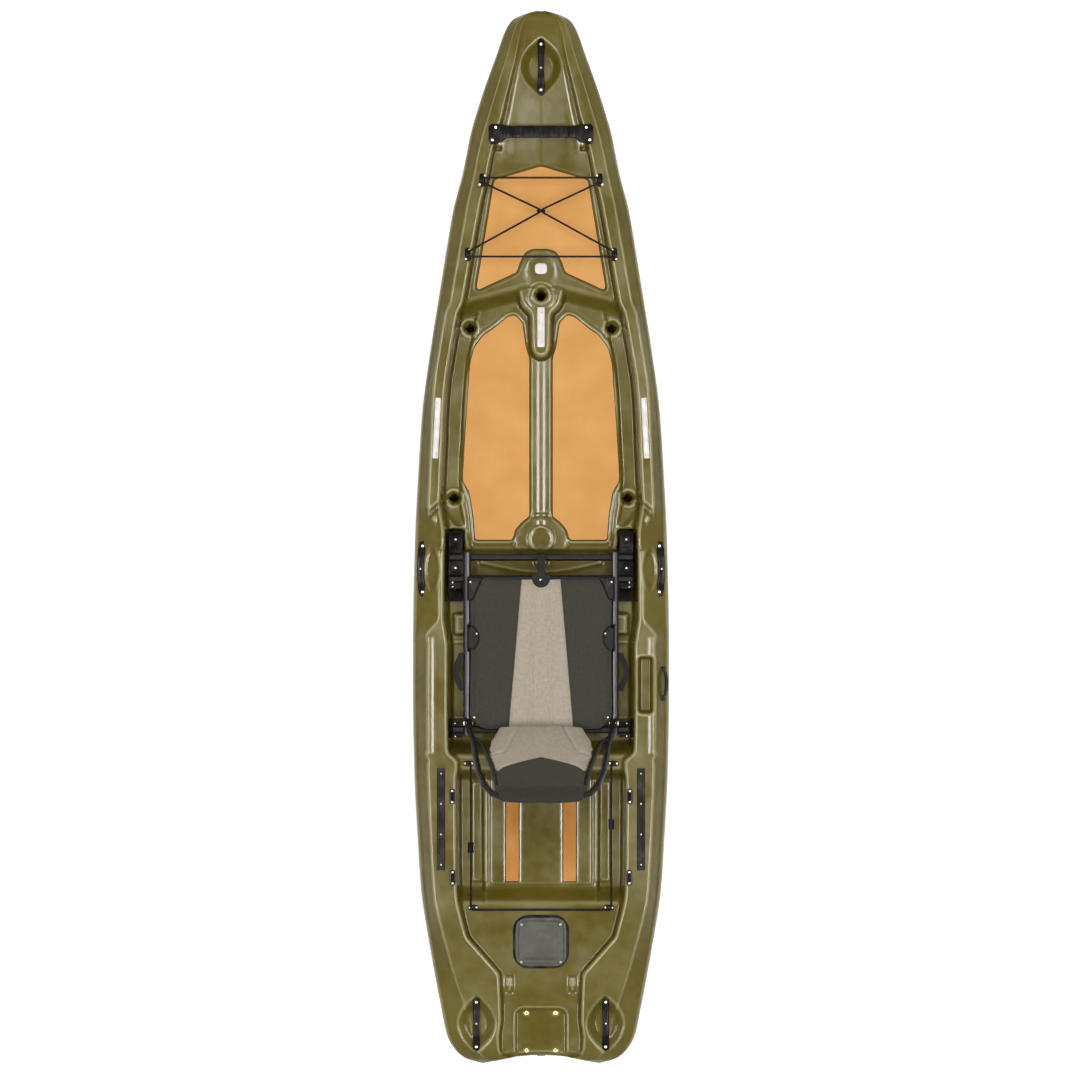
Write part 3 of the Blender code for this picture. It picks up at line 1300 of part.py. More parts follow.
def cushion_object(name, point, half_width, length, thickness, seams, material):
    """A crowned pad with drawn-in sides and sewn channels, placed by a point function."""
    stops = [-1 + 2 * i / CUSHION_ROWS for i in range(CUSHION_ROWS + 1)]
    rings = []
    columns = 16
    for t in stops:
        end = 1 - abs(t) ** 6
        top, bottom = [], []
        width = half_width(t)
        pinch = 1 - 0.03 * math.sin(math.pi * (t + 1) / 2)
        for k in range(columns + 1):
            u = -1 + 2 * k / columns
            edge = max(1 - abs(u) ** 6, 0.0)
            swell = EDGE_SHARE + (1 - EDGE_SHARE) * (end * edge) ** 0.5
            x = u * width * pinch
            dip = max((math.exp(-((x - seam(t)) / 0.009) ** 2) for seam in seams), default=0.0)
            top.append(point(x, t * length / 2, thickness * swell - CHANNEL_SEAM_DEPTH * dip * end))
            bottom.append(point(x, t * length / 2, 0.0))
        rings.append(bottom + top[::-1])
    shape = bmesh.new()
    add_loft(shape, rings)
    return smooth_round(mesh_object(name, shape, material), 60)


def build_seat_cushion(material):
    """The seat's padded sling, lying on the side rails."""
    front = FRONT_TUBE_STATION * STATION - CUSHION_FRONT_GAP
    middle = front - CUSHION_LENGTH / 2
    base = SEAT_RAIL_HEIGHT + SEAT_TUBE + FIT

    def point(x, y, z):
        bulge = CUSHION_CROWN * (1 - (x / CUSHION_HALF_WIDTH) ** 2) if z > 0 else 0.0
        return Vector((x, middle + y, base + z + bulge))

    def panel_edge(share):
        def place(t):
            rear = (1 - t) / 2
            return share * (CENTRE_PANEL_FRONT + (CENTRE_PANEL_REAR - CENTRE_PANEL_FRONT) * rear)
        return place

    cushion_object("seat_cushion", point, lambda _: CUSHION_HALF_WIDTH, CUSHION_LENGTH,
                   CUSHION_THICKNESS, [panel_edge(s) for s in (-1, -0.36, 0.36, 1)], material)


def build_backrest(frame_material, cushion_material):
    """The hinged backrest: a bent tube hoop and the padded panel in front of it."""
    hinge_x = back_hinge_x()
    outline = [(hinge_x, -BACK_FOOT), (hinge_x, BACK_STRAIGHT)]
    outline += [(share * SEAT_HALF_WIDTH, along) for share, along in BACK_FRAME_OUTLINE]
    right = [back_point(x, along, 0.0) for x, along in outline]
    left = [Vector((-p.x, p.y, p.z)) for p in reversed(right[:-1])]
    hoop = bmesh.new()
    add_tube(hoop, right + left, BACK_TUBE, 10)
    frame = smooth_round(mesh_object("backrest_frame", hoop, frame_material))
    for side, label in ((-1, "port"), (1, "starboard")):
        stay = bmesh.new()
        path = [back_point(side * share * SEAT_HALF_WIDTH, along, 0.0)
                for share, along in BACK_STAY_OUTLINE]
        add_tube(stay, path, STAY_TUBE, 8)
        combine(frame, cutter(f"backrest_stay_{label}", stay), "UNION")
    y, z = back_pivot()
    bores = bmesh.new()
    for side in (-1, 1):
        centre = Vector((side * hinge_x, y, z))
        add_cylinder(bores, centre - Vector((0.03, 0, 0)), centre + Vector((0.03, 0, 0)),
                     BOLT_RADIUS + FIT, 10)
    combine(frame, cutter("backrest_bores", bores))

    bottom, top = BACK_PAD_OUTLINE[0][1], BACK_PAD_OUTLINE[-1][1]
    sides = [(along, share * SEAT_HALF_WIDTH) for share, along in reversed(BACK_PAD_OUTLINE)]

    def half_width(t):
        return smooth_through(sides, (bottom + top) / 2 + t * (top - bottom) / 2)

    def point(x, along, out):
        lift = STAY_TUBE * math.cos(math.pi / 8) + FIT
        bulge = BACK_CROWN * (1 - (x / (0.77 * SEAT_HALF_WIDTH)) ** 2) if out > 0 else 0.0
        return back_point(x, (bottom + top) / 2 + along, lift + out + bulge)

    def seam(side):
        return lambda t: side * (0.075 + 0.025 * t)

    cushion_object("backrest_cushion", point, half_width, top - bottom, BACK_PAD_THICKNESS,
                   [seam(-1), seam(1)], cushion_material)
    return frame


def build_back_bolts(material):
    """The two bolts that the backrest turns on."""
    y, z = back_pivot()
    for name, side in SIDES:
        inner = Vector((side * (back_hinge_x() - BACK_TUBE), y, z))
        outer = Vector((side * (SEAT_HALF_WIDTH + EAR_INSET + EAR_THICKNESS + FIT), y, z))
        out = Vector((side, 0, 0))
        shape = bmesh.new()
        add_cylinder(shape, inner, outer + 0.001 * out, BOLT_RADIUS, 10)
        bolt = smooth_round(mesh_object(f"backrest_bolt_{name}", shape, material))
        head = bmesh.new()
        add_cylinder(head, outer, outer + BOLT_HEAD_THICKNESS * out, BOLT_HEAD, 12)
        combine(bolt, cutter(f"backrest_bolt_{name}_head", head), "UNION")


def build_seat_straps(material):
    """Webbing loops on the seat's sides and the moulded tab at its front."""
    for name, side in SIDES:
        front, rear = STRAP_FRONT_STATION * STATION, STRAP_REAR_STATION * STATION
        rings = []
        for i in range(9):
            t = i / 8
            y = front + (rear - front) * t
            reach = SEAT_HALF_WIDTH + SEAT_TUBE + FIT + STRAP_BULGE * math.sin(math.pi * t) ** 0.8
            low = SEAT_RAIL_HEIGHT - STRAP_WIDTH / 2
            rings.append([Vector((side * x, y, z)) for x, z in
                          ((reach, low), (reach + STRAP_THICKNESS, low),
                           (reach + STRAP_THICKNESS, low + STRAP_WIDTH), (reach, low + STRAP_WIDTH))])
        shape = bmesh.new()
        add_loft(shape, rings)
        mesh_object(f"seat_strap_{name}", shape, material)


def build_front_tab(material):
    """The moulded tab that ties the front of the sling to the cross tube."""
    first = FRONT_TUBE_STATION * STATION
    front = first - CUSHION_FRONT_GAP
    tube_top = cross_tube_height() + SEAT_TUBE + FIT
    centre = front - TAB_REACH

    def sling_top(y):
        row = 1 - 2 / CUSHION_ROWS
        full = EDGE_SHARE + (1 - EDGE_SHARE) * (1 - row ** 6) ** 0.5
        share = max((front - y) / (CUSHION_LENGTH / CUSHION_ROWS), 0.0)
        swell = EDGE_SHARE + (full - EDGE_SHARE) * share
        return (SEAT_RAIL_HEIGHT + SEAT_TUBE + 2.2 * FIT + CUSHION_CROWN
                + CUSHION_THICKNESS * swell)

    stops = [(first + 0.5 * SEAT_TUBE, tube_top, TAB_STRAP),
             (first - 0.5 * SEAT_TUBE, tube_top, TAB_STRAP),
             (front + 0.003, sling_top(front), TAB_STRAP),
             (front - 0.004, sling_top(front - 0.004), TAB_STRAP),
             (front - 0.005, sling_top(front - 0.005), TAB_RADIUS)]
    for i in range(6):
        angle = math.pi / 2 * i / 6
        y = centre - TAB_RADIUS * math.sin(angle)
        stops.append((y, sling_top(y), TAB_RADIUS * math.cos(angle)))
    stops.append((centre - TAB_RADIUS, sling_top(centre - TAB_RADIUS), 0.3 * TAB_STRAP))
    rings = []
    for y, z, half in stops:
        rings.append([Vector((-half, y, z)), Vector((half, y, z)),
                      Vector((half, y, z + TAB_THICKNESS)), Vector((-half, y, z + TAB_THICKNESS))])
    shape = bmesh.new()
    add_loft(shape, rings)
    return mesh_object("seat_front_tab", shape, material)


def build():
    """Make every piece of the kayak."""
    for item in list(bpy.data.objects):
        bpy.data.objects.remove(item)
    olive = plastic("olive_polyethylene", (0.125, 0.095, 0.022), 0.35)
    foam = plastic("tan_foam", (0.69, 0.36, 0.11), 0.85)
    black = plastic("black_nylon", (0.022, 0.016, 0.018), 0.45)
    rubber = plastic("black_rubber", (0.025, 0.02, 0.022), 0.6)
    white = plastic("white_acetal", (0.82, 0.78, 0.78), 0.4)
    grey = plastic("grey_hatch_plastic", (0.1, 0.1, 0.08), 0.5)
    brass = plastic("brass", (0.75, 0.55, 0.25), 0.3, 1.0)
    steel = plastic("stainless_steel", (0.6, 0.6, 0.6), 0.3, 1.0)
    tube = plastic("black_anodised_tube", (0.03, 0.028, 0.03), 0.35, 0.6)
    cord = plastic("black_shock_cord", (0.02, 0.016, 0.018), 0.8)
    cloth = plastic("charcoal_cloth", (0.055, 0.053, 0.042), 0.9)
    taupe = plastic("taupe_cloth", (0.36, 0.31, 0.25), 0.9)
    build_hull(olive)
    build_pads(foam)
    build_tracks(white, black)
    build_handles(rubber)
    build_gear_strap(rubber)
    build_bow_cord(black, cord)
    build_tank_cord(black, cord)
    build_pad_eyes(black)
    build_hatch(grey, rubber)
    build_inserts(brass)
    build_drain_plug(black)
    build_paddle_keeper(rubber)
    build_saddles(black)
    build_seat_frame(tube)
    build_seat_cushion(cloth)
    build_backrest(tube, taupe)
    build_back_bolts(steel)
    build_seat_straps(cloth)
    build_front_tab(black)


build()
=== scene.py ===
"""Looks of the sit-on-top fishing kayak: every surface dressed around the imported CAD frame."""

import logging
import math
from dataclasses import dataclass
from enum import Enum

import bmesh
import bpy
import numpy as np
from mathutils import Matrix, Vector
from mathutils.bvhtree import BVHTree
from mathutils.geometry import delaunay_2d_cdt


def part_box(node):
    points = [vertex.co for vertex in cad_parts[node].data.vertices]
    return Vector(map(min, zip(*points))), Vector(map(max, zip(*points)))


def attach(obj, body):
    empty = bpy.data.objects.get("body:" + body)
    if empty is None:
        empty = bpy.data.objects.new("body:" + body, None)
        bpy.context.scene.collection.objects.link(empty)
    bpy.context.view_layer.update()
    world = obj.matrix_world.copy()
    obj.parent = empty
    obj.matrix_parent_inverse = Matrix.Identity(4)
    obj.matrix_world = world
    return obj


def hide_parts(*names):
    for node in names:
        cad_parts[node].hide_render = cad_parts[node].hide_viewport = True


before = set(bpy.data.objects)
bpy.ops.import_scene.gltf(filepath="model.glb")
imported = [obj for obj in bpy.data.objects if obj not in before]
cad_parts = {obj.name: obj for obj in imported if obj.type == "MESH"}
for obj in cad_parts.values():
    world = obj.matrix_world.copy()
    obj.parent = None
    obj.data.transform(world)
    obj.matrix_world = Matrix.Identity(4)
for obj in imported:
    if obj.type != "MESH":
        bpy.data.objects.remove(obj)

LOG = logging.getLogger("kayak")
STATION = 0.0353
BUTTOCK = 0.00864
HALF_BEAM = 0.432
SIDES = (("port", -1), ("starboard", 1))

Point = tuple[float, float, float]
Pairs = tuple[tuple[float, float], ...]


# Finishes

def linear(code: str) -> tuple[float, float, float, float]:
    """Turn an sRGB hex colour into a linear one.

    Args:
        code: six hex digits after a hash sign.

    Returns:
        Linear red, green, blue and alpha.
    """
    parts = [int(code[i:i + 2], 16) / 255 for i in (1, 3, 5)]
    return (*(c / 12.92 if c <= 0.04045 else ((c + 0.055) / 1.055) ** 2.4 for c in parts), 1.0)


def add_node(tree: bpy.types.NodeTree, kind: str, inputs: dict | None = None,
             **settings: object) -> bpy.types.Node:
    """Add a shader node with its settings and its links.

    Args:
        tree: the node tree it goes in.
        kind: the node's type name.
        inputs: values or output sockets by input name or number.
        **settings: the node's own properties.

    Returns:
        The new node.
    """
    item = tree.nodes.new(kind)
    for key, value in settings.items():
        setattr(item, key, value)
    for key, value in (inputs or {}).items():
        if isinstance(value, bpy.types.NodeSocket):
            tree.links.new(value, item.inputs[key])
        else:
            item.inputs[key].default_value = value
    return item


@dataclass(frozen=True)
class Finish:
    """A material: what the real one is, with the values that its surface starts from."""

    name: str
    slot: str
    colour: str
    roughness: float = 0.5
    metallic: float = 0.0
    ior: float = 1.5
    gloss: float = 0.5

    def start(self) -> tuple[bpy.types.Material, bpy.types.NodeTree, bpy.types.Node, bpy.types.NodeSocket]:
        """Make the material with its shader and object coordinates in metres.

        Returns:
            The material, its node tree, its shader and the object coordinates.
        """
        material = bpy.data.materials.new(self.name)
        material.use_nodes = True
        material.diffuse_color = linear(self.colour)
        tree = material.node_tree
        shader = tree.nodes["Principled BSDF"]
        shader.inputs["Base Color"].default_value = linear(self.colour)
        shader.inputs["Roughness"].default_value = self.roughness
        shader.inputs["Metallic"].default_value = self.metallic
        shader.inputs["IOR"].default_value = self.ior
        shader.inputs["Specular IOR Level"].default_value = self.gloss
        place = add_node(tree, "ShaderNodeTexCoord").outputs["Object"]
        return material, tree, shader, place

    def noise(self, tree: bpy.types.NodeTree, place: bpy.types.NodeSocket, size: float,
              detail: float = 2.0) -> bpy.types.NodeSocket:
        """Noise whose grains are about size metres wide."""
        return add_node(tree, "ShaderNodeTexNoise", {"Vector": place, "Scale": 1 / size, "Detail": detail},
                        ).outputs["Fac"]

    def ramp(self, tree: bpy.types.NodeTree, value: bpy.types.NodeSocket,
             stops: tuple[tuple[float, str], ...]) -> bpy.types.NodeSocket:
        """Colours along a value, as (place, hex colour) stops.

        Args:
            tree: the material's node tree.
            value: the value that drives it.
            stops: (place, hex colour) pairs.

        Returns:
            The colour output.
        """
        item = add_node(tree, "ShaderNodeValToRGB", {"Fac": value})
        band = item.color_ramp
        while len(band.elements) < len(stops):
            band.elements.new(0.5)
        for element, (place, code) in zip(band.elements, stops):
            element.position = place
            element.color = linear(code)
        return item.outputs["Color"]

    def mix(self, tree: bpy.types.NodeTree, share: bpy.types.NodeSocket | float,
            first: bpy.types.NodeSocket | tuple,
            second: bpy.types.NodeSocket | tuple) -> bpy.types.NodeSocket:
        """Mix two colours by a share from 0 to 1.

        Args:
            tree: the material's node tree.
            share: how much of the second, from 0 to 1.
            first: the first colour.
            second: the second colour.

        Returns:
            The mixed colour.
        """
        item = add_node(tree, "ShaderNodeMix", data_type="RGBA")
        for key, value in ((0, share), (6, first), (7, second)):
            if isinstance(value, bpy.types.NodeSocket):
                tree.links.new(value, item.inputs[key])
            else:
                item.inputs[key].default_value = value
        return item.outputs[2]

    def math(self, tree: bpy.types.NodeTree, operation: str, *values: bpy.types.NodeSocket | float,
             clamp: bool = False) -> bpy.types.NodeSocket:
        """One arithmetic step on one to three values."""
        return add_node(tree, "ShaderNodeMath", dict(enumerate(values)), operation=operation,
                        use_clamp=clamp).outputs[0]

    def span(self, tree: bpy.types.NodeTree, value: bpy.types.NodeSocket, low: float, high: float,
             start: float = 0.0, end: float = 1.0) -> bpy.types.NodeSocket:
        """Map a value smoothly from low..high to start..end."""
        return add_node(tree, "ShaderNodeMapRange", {0: value, 1: low, 2: high, 3: start, 4: end},
                        interpolation_type="SMOOTHSTEP").outputs[0]

    def rough(self, tree: bpy.types.NodeTree, shader: bpy.types.Node, value: bpy.types.NodeSocket,
              spread: float) -> None:
        """Let the roughness wander by spread around its own value.

        Args:
            tree: the material's node tree.
            shader: its surface shader.
            value: the value that drives it.
            spread: how far it wanders.
        """
        low, high = self.roughness - spread, self.roughness + spread
        item = self.span(tree, value, 0.25, 0.75, low, high)
        tree.links.new(item, shader.inputs["Roughness"])

    def bump(self, tree: bpy.types.NodeTree, shader: bpy.types.Node, height: bpy.types.NodeSocket,
             depth: float, strength: float = 1.0) -> None:
        """Raise the surface by a height pattern that is depth metres deep."""
        item = add_node(tree, "ShaderNodeBump", {"Height": height, "Distance": depth, "Strength": strength})
        tree.links.new(item.outputs["Normal"], shader.inputs["Normal"])


@dataclass(frozen=True)
class RotomouldedPolyethylene(Finish):
    """Rotationally moulded polyethylene: waxy gloss, slow waves from the mould, fine orange peel."""

    pale: str = "#6F6429"
    deep: str = "#605418"
    # painted highlight: the pale colour laid along convex edges
    edge_highlight: str = "#B7B083"
    # painted shade: the dark colour laid in hollows and creases
    hollow_shade: str = "#3A3009"
    wave: float = 0.19
    mottle: float = 0.035
    peel: float = 0.005

    def material(self) -> bpy.types.Material:
        """Olive skin whose pigment and gloss wander a little, as powder fuses unevenly, with a painted
        highlight on convex edges and painted shade in hollows.

        Returns:
            The finished material.
        """
        material, tree, shader, place = self.start()
        slow = self.noise(tree, place, self.wave)
        fine = self.noise(tree, place, self.mottle, 4.0)
        both = self.math(tree, "ADD", self.math(tree, "MULTIPLY", slow, 0.6),
                         self.math(tree, "MULTIPLY", fine, 0.4))
        colour = self.ramp(tree, both, ((0.36, self.deep), (0.5, self.colour), (0.66, self.pale)))
        edge = add_node(tree, "ShaderNodeNewGeometry").outputs["Pointiness"]
        # painted highlight: convex edges, found by pointiness, turn pale
        colour = self.mix(tree, self.span(tree, edge, 0.503, 0.532, 0, 0.62), colour, linear(self.edge_highlight))
        # painted shade: hollows and creases, found by pointiness, turn dark
        colour = self.mix(tree, self.span(tree, edge, 0.497, 0.466, 0, 0.55), colour, linear(self.hollow_shade))
        tree.links.new(colour, shader.inputs["Base Color"])
        self.rough(tree, shader, both, 0.05)
        # the peel of 1.5 mm is drawn as 5 mm grains, so that it shows
        height = self.math(tree, "ADD", self.noise(tree, place, self.peel, 1.0),
                           self.math(tree, "MULTIPLY", slow, 2.0))
        self.bump(tree, shader, height, 0.0004, 0.35)
        return material


@dataclass(frozen=True)
class ClosedCellFoam(Finish):
    """Cut EVA foam sheet: soft, matt, with the fine open cells of its sanded face."""

    pale: str = "#DEA564"
    deep: str = "#D49A57"

    def material(self) -> bpy.types.Material:
        """Tan foam with slow fading and a grain of cells.

        Returns:
            The finished material.
        """
        material, tree, shader, place = self.start()
        slow = self.noise(tree, place, 0.12)
        cells = self.noise(tree, place, 0.0035, 3.0)
        both = self.math(tree, "ADD", self.math(tree, "MULTIPLY", slow, 0.65),
                         self.math(tree, "MULTIPLY", cells, 0.35))
        tree.links.new(self.ramp(tree, both, ((0.35, self.deep), (0.5, self.colour), (0.65, self.pale))),
                       shader.inputs["Base Color"])
        # cells of 0.6 mm are drawn as 3.5 mm grains, so that they show
        self.bump(tree, shader, cells, 0.0006, 0.5)
        self.rough(tree, shader, cells, 0.06)
        shader.inputs["Sheen Weight"].default_value = 0.15
        return material


@dataclass(frozen=True)
class MouldedPlastic(Finish):
    """Injection-moulded plastic: even colour, spark-eroded grain, slight flow marks."""

    grain: float = 0.003
    depth: float = 0.0003
    spread: float = 0.08

    def material(self) -> bpy.types.Material:
        """Fine mould grain that breaks up the gloss.

        Returns:
            The finished material.
        """
        material, tree, shader, place = self.start()
        grain = self.noise(tree, place, self.grain, 3.0)
        flow = self.noise(tree, place, 0.04)
        lighter = tuple(min(1.0, c * 1.5 + 0.006) for c in linear(self.colour)[:3]) + (1.0,)
        share = self.span(tree, flow, 0.4, 0.75, 0, 0.6)
        tree.links.new(self.mix(tree, share, linear(self.colour), lighter), shader.inputs["Base Color"])
        self.rough(tree, shader, flow, self.spread)
        # grain of 0.2 mm is drawn at this finish's coarser size, so that it shows
        self.bump(tree, shader, grain, self.depth, 0.6)
        return material


@dataclass(frozen=True)
class Metal(Finish):
    """Turned or drawn metal: bright, with fine tool marks that stretch the highlights."""

    mark: float = 0.0015
    tarnish: str = "#6F6A60"

    def material(self) -> bpy.types.Material:
        """Tool marks, and a little tarnish in patches.

        Returns:
            The finished material.
        """
        material, tree, shader, place = self.start()
        marks = self.noise(tree, place, self.mark, 2.0)
        dull = self.span(tree, self.noise(tree, place, 0.012, 4.0), 0.45, 0.8, 0, 0.6)
        colour = self.mix(tree, dull, linear(self.colour), linear(self.tarnish))
        tree.links.new(colour, shader.inputs["Base Color"])
        self.rough(tree, shader, marks, 0.07)
        self.bump(tree, shader, marks, 0.0001, 0.5)
        return material


class Mask(Enum):
    """Where a cushion's second cloth lies."""

    NONE = "one cloth"
    SEAT = "panel that widens rearwards"
    BACK = "panel up the back"


@dataclass(frozen=True)
class WovenCloth(Finish):
    """Plain-woven coated cloth: threads that cross, matt, with fuzz that catches low light."""

    thread: float = 0.0022
    second: str = "#A89C8A"
    mask: Mask = Mask.NONE

    def weave(self, tree: bpy.types.NodeTree, place: bpy.types.NodeSocket) -> bpy.types.NodeSocket:
        """Height of a plain weave over all three directions, from 0 to 1.

        Args:
            tree: the material's node tree.
            place: the object coordinates.

        Returns:
            The height pattern, from 0 to 1.
        """
        axes = add_node(tree, "ShaderNodeSeparateXYZ", {0: place}).outputs
        waves = []
        for axis in axes:
            turn = self.math(tree, "MULTIPLY", axis, math.pi / self.thread)
            waves.append(self.math(tree, "SINE", turn))
        first = self.math(tree, "MULTIPLY", waves[0], waves[1])
        other = self.math(tree, "MULTIPLY", waves[0], waves[2])
        total = self.math(tree, "ADD", first, other)
        return self.math(tree, "MULTIPLY_ADD", total, 0.3, 0.5, clamp=True)

    def share(self, tree: bpy.types.NodeTree, place: bpy.types.NodeSocket) -> bpy.types.NodeSocket | None:
        """Where the second cloth shows, by the piece's own coordinates.

        Args:
            tree: the material's node tree.
            place: the object coordinates.

        Returns:
            The second cloth's share, or None where there is one cloth.
        """
        if self.mask is Mask.NONE:
            return None
        axes = add_node(tree, "ShaderNodeSeparateXYZ", {0: place}).outputs
        across = self.math(tree, "ABSOLUTE", axes["X"])
        if self.mask is Mask.SEAT:
            edge = self.math(tree, "MULTIPLY_ADD", axes["Y"], -0.0858, 0.0531)
            inside = self.math(tree, "SUBTRACT", edge, across)
            return self.span(tree, inside, -0.0012, 0.0012)
        along = self.math(tree, "MULTIPLY_ADD", axes["Y"], -0.515,
                          self.math(tree, "MULTIPLY_ADD", axes["Z"], 0.857, -0.6532))
        top = self.math(tree, "MULTIPLY_ADD", across, 0.38, 0.231)
        return self.span(tree, self.math(tree, "SUBTRACT", top, along), -0.0015, 0.0015)

    def material(self) -> bpy.types.Material:
        """Crossing threads in slightly different shades of one cloth or two.

        Returns:
            The finished material.
        """
        material, tree, shader, place = self.start()
        weave = self.weave(tree, place)
        slub = self.noise(tree, place, 0.01, 4.0)
        shade = self.math(tree, "MULTIPLY_ADD", weave, 0.5,
                          self.math(tree, "MULTIPLY", slub, 0.6), clamp=True)

        def cloth(code: str) -> bpy.types.NodeSocket:
            """Shade one cloth between its dark and light threads.

            Args:
                code: the cloth's sRGB hex colour.

            Returns:
                The shaded colour.
            """
            base = linear(code)
            dark = tuple(c * 0.62 for c in base[:3]) + (1.0,)
            light = tuple(min(1.0, c * 1.32) for c in base[:3]) + (1.0,)
            plain = add_node(tree, "ShaderNodeMix", {0: shade}, data_type="RGBA")
            plain.inputs[6].default_value = dark
            plain.inputs[7].default_value = light
            return plain.outputs[2]

        colour = cloth(self.colour)
        share = self.share(tree, place)
        if share is not None:
            colour = self.mix(tree, share, colour, cloth(self.second))
        tree.links.new(colour, shader.inputs["Base Color"])
        # threads of 0.5 mm are drawn at this finish's coarser spacing, so that they show
        self.bump(tree, shader, weave, 0.0006, 0.6)
        shader.inputs["Sheen Weight"].default_value = 0.1
        shader.inputs["Sheen Roughness"].default_value = 0.5
        return material


@dataclass(frozen=True)
class BraidedCord(Finish):
    """Braided polyester over rubber: strands that cross on the slant, with a soft shine."""

    strand: float = 0.004

    def material(self) -> bpy.types.Material:
        """Slanting strands by object place, dark in the gaps between them.

        Returns:
            The finished material.
        """
        material, tree, shader, place = self.start()
        axes = add_node(tree, "ShaderNodeSeparateXYZ", {0: place}).outputs
        waves = []
        for sign in (1.0, -1.0):
            slant = self.math(tree, "MULTIPLY_ADD", axes["Y"], sign, axes["X"])
            waves.append(self.math(tree, "SINE", self.math(tree, "MULTIPLY", slant, math.tau / self.strand)))
        braid = self.math(tree, "MULTIPLY_ADD", self.math(tree, "MULTIPLY", *waves), 0.5, 0.5)
        tree.links.new(self.ramp(tree, braid, ((0.1, "#0D0909"), (0.6, self.colour), (0.95, "#352B2D"))),
                       shader.inputs["Base Color"])
        # strands of 1 mm are drawn 4 mm apart, so that they show
        self.bump(tree, shader, braid, 0.0005, 0.6)
        return material


class Finishes:
    """Every finish of the kayak, each made once."""

    def __init__(self) -> None:
        """Make the materials."""
        # rotomoulded polyethylene looks waxy: soft highlights over a slightly uneven olive
        self.hull = RotomouldedPolyethylene("olive_rotomoulded_polyethylene", "hull_polyethylene",
                                            "#685C20", roughness=0.15, gloss=0.20).material()
        # cut EVA foam is matt and warm, with a darker layer showing at its routed edge
        self.foam = ClosedCellFoam("tan_eva_foam_sheet", "tan_foam", "#D99F5B", roughness=0.85,
                                   gloss=0.08).material()
        self.foam_rear = ClosedCellFoam("tan_eva_foam_strip", "tan_foam", "#C8893F", roughness=0.85,
                                        gloss=0.08, pale="#D0965A", deep="#B97C3C").material()
        self.foam_edge = ClosedCellFoam("brown_eva_foam_core", "tan_foam", "#4D3A1F", roughness=0.9,
                                        gloss=0.08, pale="#5E4828", deep="#3E2E18").material()
        # glass-filled nylon is a brownish black, and its low gloss keeps it black under the strips
        self.nylon = MouldedPlastic("glass_filled_nylon_black", "black_nylon", "#171211", roughness=0.17,
                                    gloss=0.06).material()
        # moulded rubber is a touch lighter than the nylon, with a coarser and deeper grain
        self.rubber = MouldedPlastic("moulded_rubber_black", "black_rubber", "#191413", roughness=0.20,
                                     gloss=0.06, grain=0.004, depth=0.0005).material()
        # moulded acetal rails are clean and pale, and the black ones a dark brownish grey
        self.white = MouldedPlastic("acetal_track_white", "white_track", "#E0D8D3", roughness=0.35, gloss=0.1,
                                    spread=0.04).material()
        self.track = MouldedPlastic("acetal_track_black", "black_track", "#28231F", roughness=0.22,
                                    gloss=0.06).material()
        # the moulded hatch is a plain mid grey with little shine
        self.hatch = MouldedPlastic("moulded_hatch_plastic_grey", "hatch_plastic", "#55534B", roughness=0.32,
                                    gloss=0.05).material()
        # stainless pan heads and turned brass are bright, with fine turning marks
        self.steel = Metal("stainless_steel_turned", "stainless_steel", "#DAD5CC", roughness=0.25,
                           metallic=1.0, tarnish="#A39C90").material()
        self.brass = Metal("brass_turned", "brass", "#CDB67E", roughness=0.35, metallic=1.0,
                           tarnish="#9A8352").material()
        # black anodised aluminium: the dye hides most of the metal, so the tube is near black and its
        # metallic and specular levels are low
        self.tube = Metal("black_anodised_aluminium", "black_tube", "#242122", roughness=0.25, metallic=0.25,
                          gloss=0.2, mark=0.003, tarnish="#191617").material()
        # a braided polyester sheath is matt, with dark gaps between its strands
        self.cord = BraidedCord("braided_shock_cord", "shock_cord", "#1A1313", roughness=0.4,
                                gloss=0.04).material()
        # coated nylon cloth is a matt charcoal, and the panels are brushed polyester in taupe
        self.charcoal = WovenCloth("charcoal_woven_nylon", "charcoal_cloth", "#34322A", roughness=0.85,
                                   gloss=0.08).material()
        self.seat_cloth = WovenCloth("two_cloth_seat_cover", "charcoal_cloth", "#3C3A30", roughness=0.85,
                                     gloss=0.10, second="#AA9F8F", mask=Mask.SEAT).material()
        self.back_cloth = WovenCloth("two_cloth_back_cover", "taupe_cloth", "#3C3A30", roughness=0.85,
                                     gloss=0.10, second="#A99E8D", mask=Mask.BACK).material()
        self.webbing = WovenCloth("black_woven_webbing", "charcoal_cloth", "#1C1918", roughness=0.75,
                                  gloss=0.15, thread=0.0016).material()


# Mesh making

